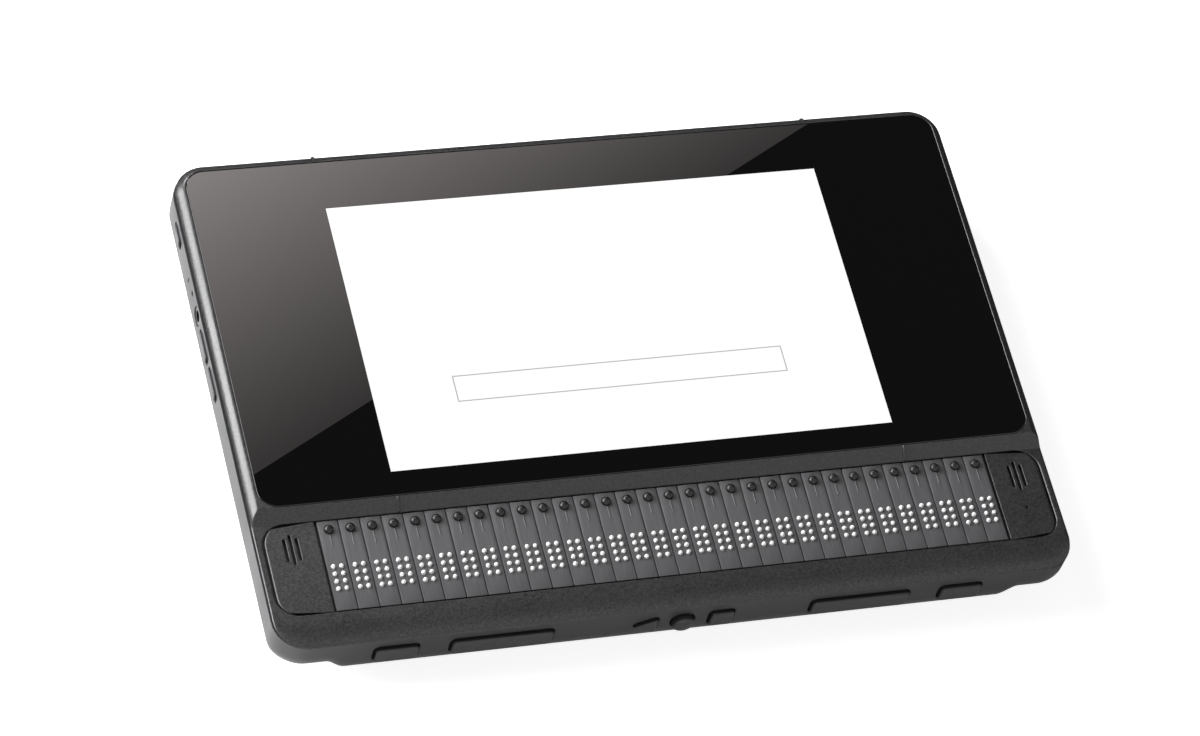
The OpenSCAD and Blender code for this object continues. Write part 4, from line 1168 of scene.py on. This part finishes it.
class Underside(bpy.types.Operator):
    """Makes the rubber feet and the battery door"""

    bl_idname = "notetaker.underside"
    bl_label = "Underside"

    def execute(self, context):
        edge = context.scene.notetaker_details.foot_edge / MM
        foot = carried(circle(FOOT_R, 10), *eased(FOOT_R, -FEET_HIGH[2], 0, edge), UNDER)
        parts = copies(foot.reshape(-1, 3), ring_faces(foot), foot_places())
        feet = mesh_object("rubber_feet_moulded", *parts)
        dress(feet, rubber("rubber_moulded_black", linear("#1c1c1c")), "foot_rubber", CHASSIS, "rubber_feet")
        middle, half = door_plate()
        profile = eased(DOOR_R, -BELLY_Z - DOOR_T, -BELLY_Z, 0.25)
        door = solids("battery_door_plate", [carried(round_rect(*half, DOOR_R, 8), *profile, UNDER, middle)])
        flat_faces_first(door)
        finish = moulded("abs_satin_door", context.scene.notetaker_colours.shell, *SATIN)
        dress(door, finish, "shell_plastic", CHASSIS, "battery_door")
        return {"FINISHED"}


class InnerFinishes(bpy.types.Operator):
    """Gives the solids that stay as they are their finishes"""

    bl_idname = "notetaker.inner_finishes"
    bl_label = "Inner finishes"

    def execute(self, context):
        # Dull moulded boxes, lacquered boards with a soft gleam, a smooth black socket and plated screws
        lacquered = (linear("#1c5a34"), 0.5, 0.02, 0.35, 0.2)
        finishes = {
            "lcd_panel": polished("display_diffuser", linear("#e8e8ea"), 0.35),
            "braille_cells": moulded("pbt_ivory", linear("#d2cdbf"), 0.8, 0.01, 0.5, 0.05),
            "speakers": moulded("abs_speaker_box", linear("#2c2c2e"), 0.8, 0.02, 0.55, 0.08),
            "main_board": moulded("fibreglass_board_green", *lacquered),
            "key_board": moulded("fibreglass_strip_green", *lacquered),
            "headphone_jack": polished("nylon_black", linear("#141414"), 0.3),
            "battery": moulded("battery_wrap_blue_grey", linear("#3a4250"), 1.2, 0.02, 0.4, 0.06),
            "case_screws": steel("steel_zinc_plated", linear("#a8a9ac")),
        }
        for node, finish in finishes.items():
            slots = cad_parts[node].data.materials
            slots.clear()
            slots.append(finish)
        return {"FINISHED"}


# Stage, in metres

CAMERA_PLACE = Vector((-0.43968, -0.72574, 1.22330))
CAMERA_AIM = Vector((-0.00689, 0.00009, 0.02190))
CAMERA_ROLL = math.radians(20.659)
CAMERA_LENS = 148.74
SENSOR_W = 36.0
# Softboxes that face the object: name, place, width, height and power
LAMPS = [
    ("left_softbox", (-0.93, 0.40, 0.43), 0.86, 0.66, 27.0),
    ("back_softbox", (-0.38, 0.95, 0.60), 0.26, 0.26, 6.0),
    ("front_softbox", (-0.10, -1.05, 0.20), 0.80, 0.34, 1.5),
]
# How white the floor is to the eye, and in reflections to the left of the object and elsewhere, before the
# lamps add to it, and the stretch in X over which these two meet. The stronger glow to the left is a painted
# reflection
FLOOR_R = 4.0
FLOOR_WHITE = 0.84
FLOOR_SHEEN = (0.9, 0.28)
FLOOR_SHEEN_X = (-0.12, -0.11)
# Black sheets beside the object that only reflections see, painted dark reflections that cast no shade: left,
# front, right and back edge
FLAGS = np.array([(-0.70, -0.30, -0.146, 0.90), (0.13, -0.30, 1.40, 1.40), (-0.146, 0.095, 0.13, 1.40)])
FLAG_Z = 0.001
FLAG_GLOW = 0.05
# Light of the room: all round, and a glow in front that only reflections see, a painted reflection
ROOM = 0.1
FRONT_REFLECTION_GLOW = 1.0
# The glass mirrors a glowing panel with a straight edge that only reflections see, a painted reflection. The
# edge's two ends as seen on the glass, the panel's depth behind them and its height, in millimetres
CARD_EDGE = ((-150.0, -43.5), (110.0, 95.5))
CARD_DEPTH = 190.0
CARD_HEIGHT = 900.0
# The panel's painted glow at its far and near side, and its warm white
CARD_GLOW = (7.0, 0.8)
CARD_COLOUR = (1.0, 0.93, 0.914, 1)


class Stage(bpy.types.Operator):
    """Sets the floor, the studio light, the world and the camera"""

    bl_idname = "notetaker.stage"
    bl_label = "Stage"

    def execute(self, context):
        scene = context.scene
        scene.view_settings.view_transform = "Standard"
        self.floor(scene.notetaker_colours.floor)
        self.world(scene)
        for name, place, width, height, power in LAMPS:
            lamp = bpy.data.lights.new(name, "AREA")
            lamp.shape = "RECTANGLE"
            lamp.size = width
            lamp.size_y = height
            lamp.energy = power
            made = self.put(scene, lamp, Vector(place), Vector())
            made.visible_camera = False
        self.card()
        self.flags()
        camera = bpy.data.cameras.new("photo_camera")
        camera.lens = CAMERA_LENS
        camera.sensor_width = SENSOR_W
        scene.camera = self.put(scene, camera, CAMERA_PLACE, CAMERA_AIM, CAMERA_ROLL)
        return {"FINISHED"}

    def put(self, scene, data, place, aim, roll=0.0):
        """A lamp or camera at a place, looking at another."""
        made = bpy.data.objects.new(data.name, data)
        made.location = place
        made.rotation_mode = "QUATERNION"
        made.rotation_quaternion = (aim - place).to_track_quat("-Z", "Y") @ Quaternion((0, 0, 1), roll)
        scene.collection.objects.link(made)
        return made

    def floor(self, colour):
        """A wide round floor, white under the lamps, that keeps the object's shadow, with a glow in
        reflections that is stronger to the left: a painted reflection.
        """
        rim = carried(circle(1, 24), [FLOOR_R / MM], [0.0]).reshape(-1, 3)
        floor = mesh_object("floor", rim, [np.arange(len(rim))[None]])
        made, tree, shader, place = material("studio_floor_painted_white", colour)
        ray = add(tree, "LightPath")
        mirrored = add(tree, "Math", {0: ray.outputs["Is Glossy Ray"], 1: ray.outputs["Is Transmission Ray"]},
                       use_clamp=True)
        axis = add(tree, "SeparateXYZ", {0: place})
        # Painted reflection: the floor glows brighter in reflections to the left of the object
        side = add(tree, "MapRange", {"Value": axis.outputs["X"], "From Min": FLOOR_SHEEN_X[0],
                                      "From Max": FLOOR_SHEEN_X[1], "To Min": FLOOR_SHEEN[0],
                                      "To Max": FLOOR_SHEEN[1]})
        sheen = add(tree, "Math", {0: mirrored, 1: side}, operation="MULTIPLY")
        white = add(tree, "Math", {0: ray.outputs["Is Camera Ray"], 1: FLOOR_WHITE, 2: sheen},
                    operation="MULTIPLY_ADD")
        feed(shader, {"Roughness": 0.9, "Emission Color": (1, 1, 1, 1), "Emission Strength": white})
        floor.data.materials.append(made)

    def card(self):
        """A glowing panel that only reflections see, a painted reflection on the glass: its corners on the
        glass carried on from the mirrored camera.
        """
        eye = np.array(CAMERA_PLACE) / MM
        eye[2] = 2 * TOP_Z - eye[2]
        near = np.array(CARD_EDGE)
        along = near[1] - near[0]
        out = np.array([-along[1], along[0]]) / np.hypot(*along) * CARD_DEPTH
        seen = np.column_stack([[near[0], near[1], near[1] + out, near[0] + out], np.full(4, TOP_Z)])
        corners = eye + (seen - eye) * (CARD_HEIGHT - eye[2]) / (TOP_Z - eye[2])
        card = mesh_object("mirror_card", corners, [np.array([[3, 2, 1, 0]])])
        # Painted reflection: an emitting panel that lights nothing and shows only in reflections
        made, tree, shader, place = material("painted_reflection_glow", (0.0, 0.0, 0.0))
        near_mid = corners[:2].mean(axis=0) * MM
        away = (corners[3] - corners[0]) * MM
        reach = add(tree, "VectorMath", {0: place, 1: tuple(near_mid)}, operation="SUBTRACT")
        share = add(tree, "VectorMath", {0: reach, 1: tuple(away / away.dot(away))}, operation="DOT_PRODUCT")
        far_glow, near_glow = np.sqrt(CARD_GLOW)
        root = add(tree, "MapRange", {"Value": share.outputs["Value"], "From Max": 0.6, "To Min": near_glow,
                                      "To Max": far_glow})
        glow = add(tree, "Math", {0: root, 1: 2.0}, operation="POWER")
        feed(shader, {"Emission Strength": glow, "Emission Color": CARD_COLOUR})
        card.data.materials.append(made)
        self.for_reflections(card)

    def flags(self):
        """Black sheets beside the object that only reflections see: painted dark reflections that keep the
        bright floor out of its rails.
        """
        x = FLAGS[:, [0, 2, 2, 0]]
        y = FLAGS[:, [1, 1, 3, 3]]
        points = np.stack([x, y, np.full_like(x, FLAG_Z)], -1).reshape(-1, 3) / MM
        flags = mesh_object("black_flags", points, [np.arange(len(points)).reshape(-1, 4)])
        # Painted dark reflection: near black with a faint glow, casting no shade
        made, tree, shader, place = material("painted_dark_reflection", (0.0, 0.0, 0.0))
        feed(shader, {"Roughness": 1.0, "Specular IOR Level": 0.0, "Emission Color": (1, 1, 1, 1),
                      "Emission Strength": FLAG_GLOW})
        flags.data.materials.append(made)
        self.for_reflections(flags)

    def for_reflections(self, piece):
        """Has a stage piece show in reflections only."""
        piece.visible_camera = False
        piece.visible_diffuse = False
        piece.visible_shadow = False
        piece.visible_transmission = False

    def world(self, scene):
        """A dim room: white to the eye, with a glow in front that only reflections see, a painted reflection.
        """
        world = bpy.data.worlds.new("dim_studio")
        world.use_nodes = True
        tree = world.node_tree
        ray = add(tree, "LightPath")
        way = add(tree, "SeparateXYZ", {0: add(tree, "TexCoord").outputs["Generated"]})
        # Painted reflection: white ahead of the object, seen only by glossy and transmission rays
        ahead = add(tree, "MapRange", {"Value": way.outputs["Y"], "From Min": 0.42, "From Max": 0.0,
                                       "To Max": FRONT_REFLECTION_GLOW}, interpolation_type="SMOOTHSTEP")
        mirrored = add(tree, "Math", {0: ray.outputs["Is Glossy Ray"], 1: ray.outputs["Is Transmission Ray"]},
                       use_clamp=True)
        glow = add(tree, "Math", {0: ahead, 1: mirrored}, operation="MULTIPLY")
        seen = add(tree, "Math", {0: ray.outputs["Is Camera Ray"], 1: glow})
        level = add(tree, "Math", {0: seen, 1: ROOM})
        feed(tree.nodes["Background"], {"Strength": level, "Color": (1, 1, 1, 1)})
        scene.world = world


STEPS = (LowerShell, TopCover, Screen, CellCaps, DotPins, RoutingButtons, SpeakerPanels, ThumbKeys,
         SideKeys, Underside, InnerFinishes, Stage)


class NotetakerPanel(bpy.types.Panel):
    """Lists the steps and the values that they use"""

    bl_idname = "VIEW3D_PT_notetaker"
    bl_label = "Braille notetaker"
    bl_space_type = "VIEW_3D"
    bl_region_type = "UI"
    bl_category = "Notetaker"

    def draw(self, context):
        for step in STEPS:
            self.layout.operator(step.bl_idname)
        for group in GROUPS:
            values = getattr(context.scene, group)
            for key in values.__annotations__:
                self.layout.prop(values, key)


GROUPS = {"notetaker_case": CaseSizes, "notetaker_details": DetailSizes, "notetaker_colours": Colours}
CLASSES = (*GROUPS.values(), *STEPS, NotetakerPanel)


def register():
    """Adds the classes and the scene's values."""
    for cls in CLASSES:
        bpy.utils.register_class(cls)
    for name, group in GROUPS.items():
        setattr(bpy.types.Scene, name, bpy.props.PointerProperty(type=group))


def unregister():
    """Takes away what register added."""
    for name in GROUPS:
        delattr(bpy.types.Scene, name)
    for cls in reversed(CLASSES):
        bpy.utils.unregister_class(cls)


def main():
    """Makes every piece in order."""
    register()
    for step in STEPS:
        group, name = step.bl_idname.split(".")
        getattr(getattr(bpy.ops, group), name)()


if __name__ == "__main__":
    main()
